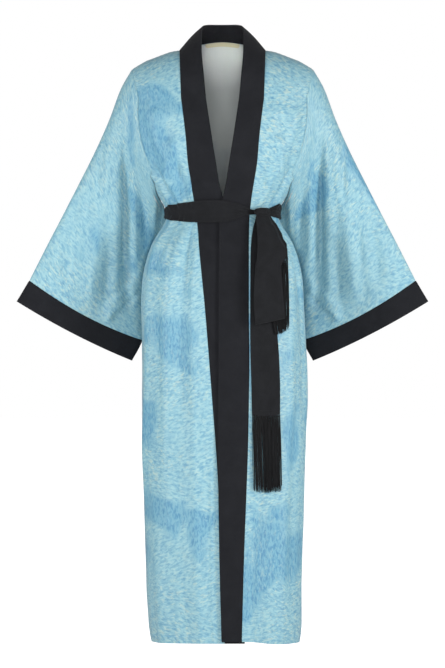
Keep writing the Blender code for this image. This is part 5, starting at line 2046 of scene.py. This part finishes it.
yarn_tree = build_yarn_tree()
print("tree:", yarn_tree.name, "with", len(yarn_tree.nodes), "nodes")

# %% The yarns of both ends
# Yarns: thickness, points along each, how many in a bunch, how much shorter one may be and how much thinner
# it ends, as shares
YARN = 1.4
YARN_STATIONS = 22
YARNS_IN_BUNCH = 5
YARN_SHORTER = 0.12
YARN_THINNER = 0.35

# How far bunches drift, yarns stand apart in one and stray, how high they wave, how far above the hem's edge
# and off it they start, how thick the fringe is and how loosely they lie in it
BUNCH_DRIFT = 0.5
YARN_APART = 0.4
YARN_STRAY = 0.75
YARN_WAVE = (0.15, 0.55)
YARN_ROOT = 1.5
YARN_ROOT_OUT = 0.9
YARN_LAYER = 0.8
YARN_LOOSE = 0.35
FRINGES = [
    # name, node, strip, bunches, drop (mm), how far it stands off the robe, lean and narrowing, seed
    ("fringe_of_long_end", "fringe_long", long_tail, 42, 172.0, 6.0, 4.0, 0.0, 11),
    ("fringe_of_short_end", "fringe_short", short_tail, 38, 160.0, 9.0, 2.0, 0.5, 23),
]


def yarn_paths(strip, bunches, drop, out, lean, narrowing, seed):
    """The yarns' paths and the thickness along each. They lean to the right and draw together there."""
    random = np.random.default_rng(seed)
    share = np.linspace(0.0, 1.0, YARN_STATIONS)
    edge = strip[-1]
    along = run_lengths(strip, 1)[-1]
    along = along / along[-1]
    paths, sizes = [], []
    drift = np.cumsum(random.normal(0.0, BUNCH_DRIFT, bunches))
    drift = drift - np.linspace(drift[0], drift[-1], bunches)
    for bunch in range(bunches):
        place = (bunch + 0.5) / bunches
        root = np.array([np.interp(place, along, edge[:, axis]) for axis in range(3)])
        for number in range(YARNS_IN_BUNCH):
            length = drop * (1.0 - YARN_SHORTER * random.uniform() ** 1.5)
            spread = random.normal(0.0, YARN_STRAY) + YARN_APART * (number - 2.0)
            wave = random.uniform(*YARN_WAVE)
            wave = wave * np.sin(random.uniform(3.0, 7.0) * share + random.uniform(0.0, 6.0))
            drawn = lean + narrowing * (edge[-1, 0] - root[0])
            x = root[0] + (spread + drift[bunch]) * smooth_step(share * 2.5) + wave * share + drawn * share
            height = root[2] + YARN_ROOT - (length + YARN_ROOT) * share
            layer = out - 0.6 + YARN_LAYER * (number % 3) + YARN_LOOSE * random.uniform(-1.0, 1.0)
            below = over_front(x, height, np.full_like(x, layer))
            start = smooth_step(share * 9.0)[:, None]
            top = np.stack([x, np.full_like(x, root[1] + YARN_ROOT_OUT), height], axis=-1)
            paths.append(top + (below - top) * start)
            sizes.append(YARN * (1.0 - YARN_THINNER * share) * random.uniform(0.85, 1.1))
    return paths, sizes


for name, node, strip, *hang in FRINGES:
    paths, sizes = yarn_paths(strip, *hang)
    fringe = grow(name, yarn_tree, paths, {"Sides": 5, "Yarn": fringe_yarn}, sizes)
    ride(fringe)
    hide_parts(node)
    print(fringe.name, len(paths), "yarns,", len(fringe.data.polygons), "faces")

# %% [markdown]
# ## The cuts
#
# Cloth keeps the size it was cut to, however it hangs. Each piece is listed with its flat size in metres,
# and the last loop prints the area of its outer face beside it.

CUTS = [
    # piece, width, length, area where it isn't a rectangle, how it is held, what it rests on
    ("back_cloth", 0.47, 1.40, 0.60, "draped", ["sleeve_left_cloth", "sleeve_right_cloth"]),
    ("front_left_cloth", 0.25, 1.36, 0.25, "draped", ["back_cloth"]),
    ("front_right_cloth", 0.28, 1.37, 0.28, "draped", ["back_cloth"]),
    ("sleeve_left_cloth", 0.58, 0.49, 0.216, "hung", ["back_cloth"]),
    ("sleeve_right_cloth", 0.58, 0.49, 0.216, "hung", ["back_cloth"]),
    ("cuff_left_band", 0.60, 0.056, None, "hung", ["sleeve_left_cloth"]),
    ("cuff_right_band", 0.60, 0.056, None, "hung", ["sleeve_right_cloth"]),
    ("neckband_folded", 0.067, 3.00, None, "draped", ["front_left_cloth", "front_right_cloth", "back_cloth"]),
    ("belt_round_waist", 0.70, 0.048, None, "gathered", ["front_left_cloth", "back_cloth"]),
    ("belt_end_long", 0.065, 0.45, None, "hung", ["belt_wound_knot"]),
    ("belt_end_short", 0.058, 0.11, None, "hung", ["belt_wound_knot"]),
    ("belt_bow_loop", 0.065, 0.50, None, "hung", ["belt_wound_knot"]),
    ("blank_label", 0.064, 0.013, None, "laid", ["back_cloth"]),
]
for name, width, length, area, held, rests_on in CUTS:
    print(name, "outer face", round(flat_size(name), 4), "m2, cut", area or round(width * length, 4), "m2")
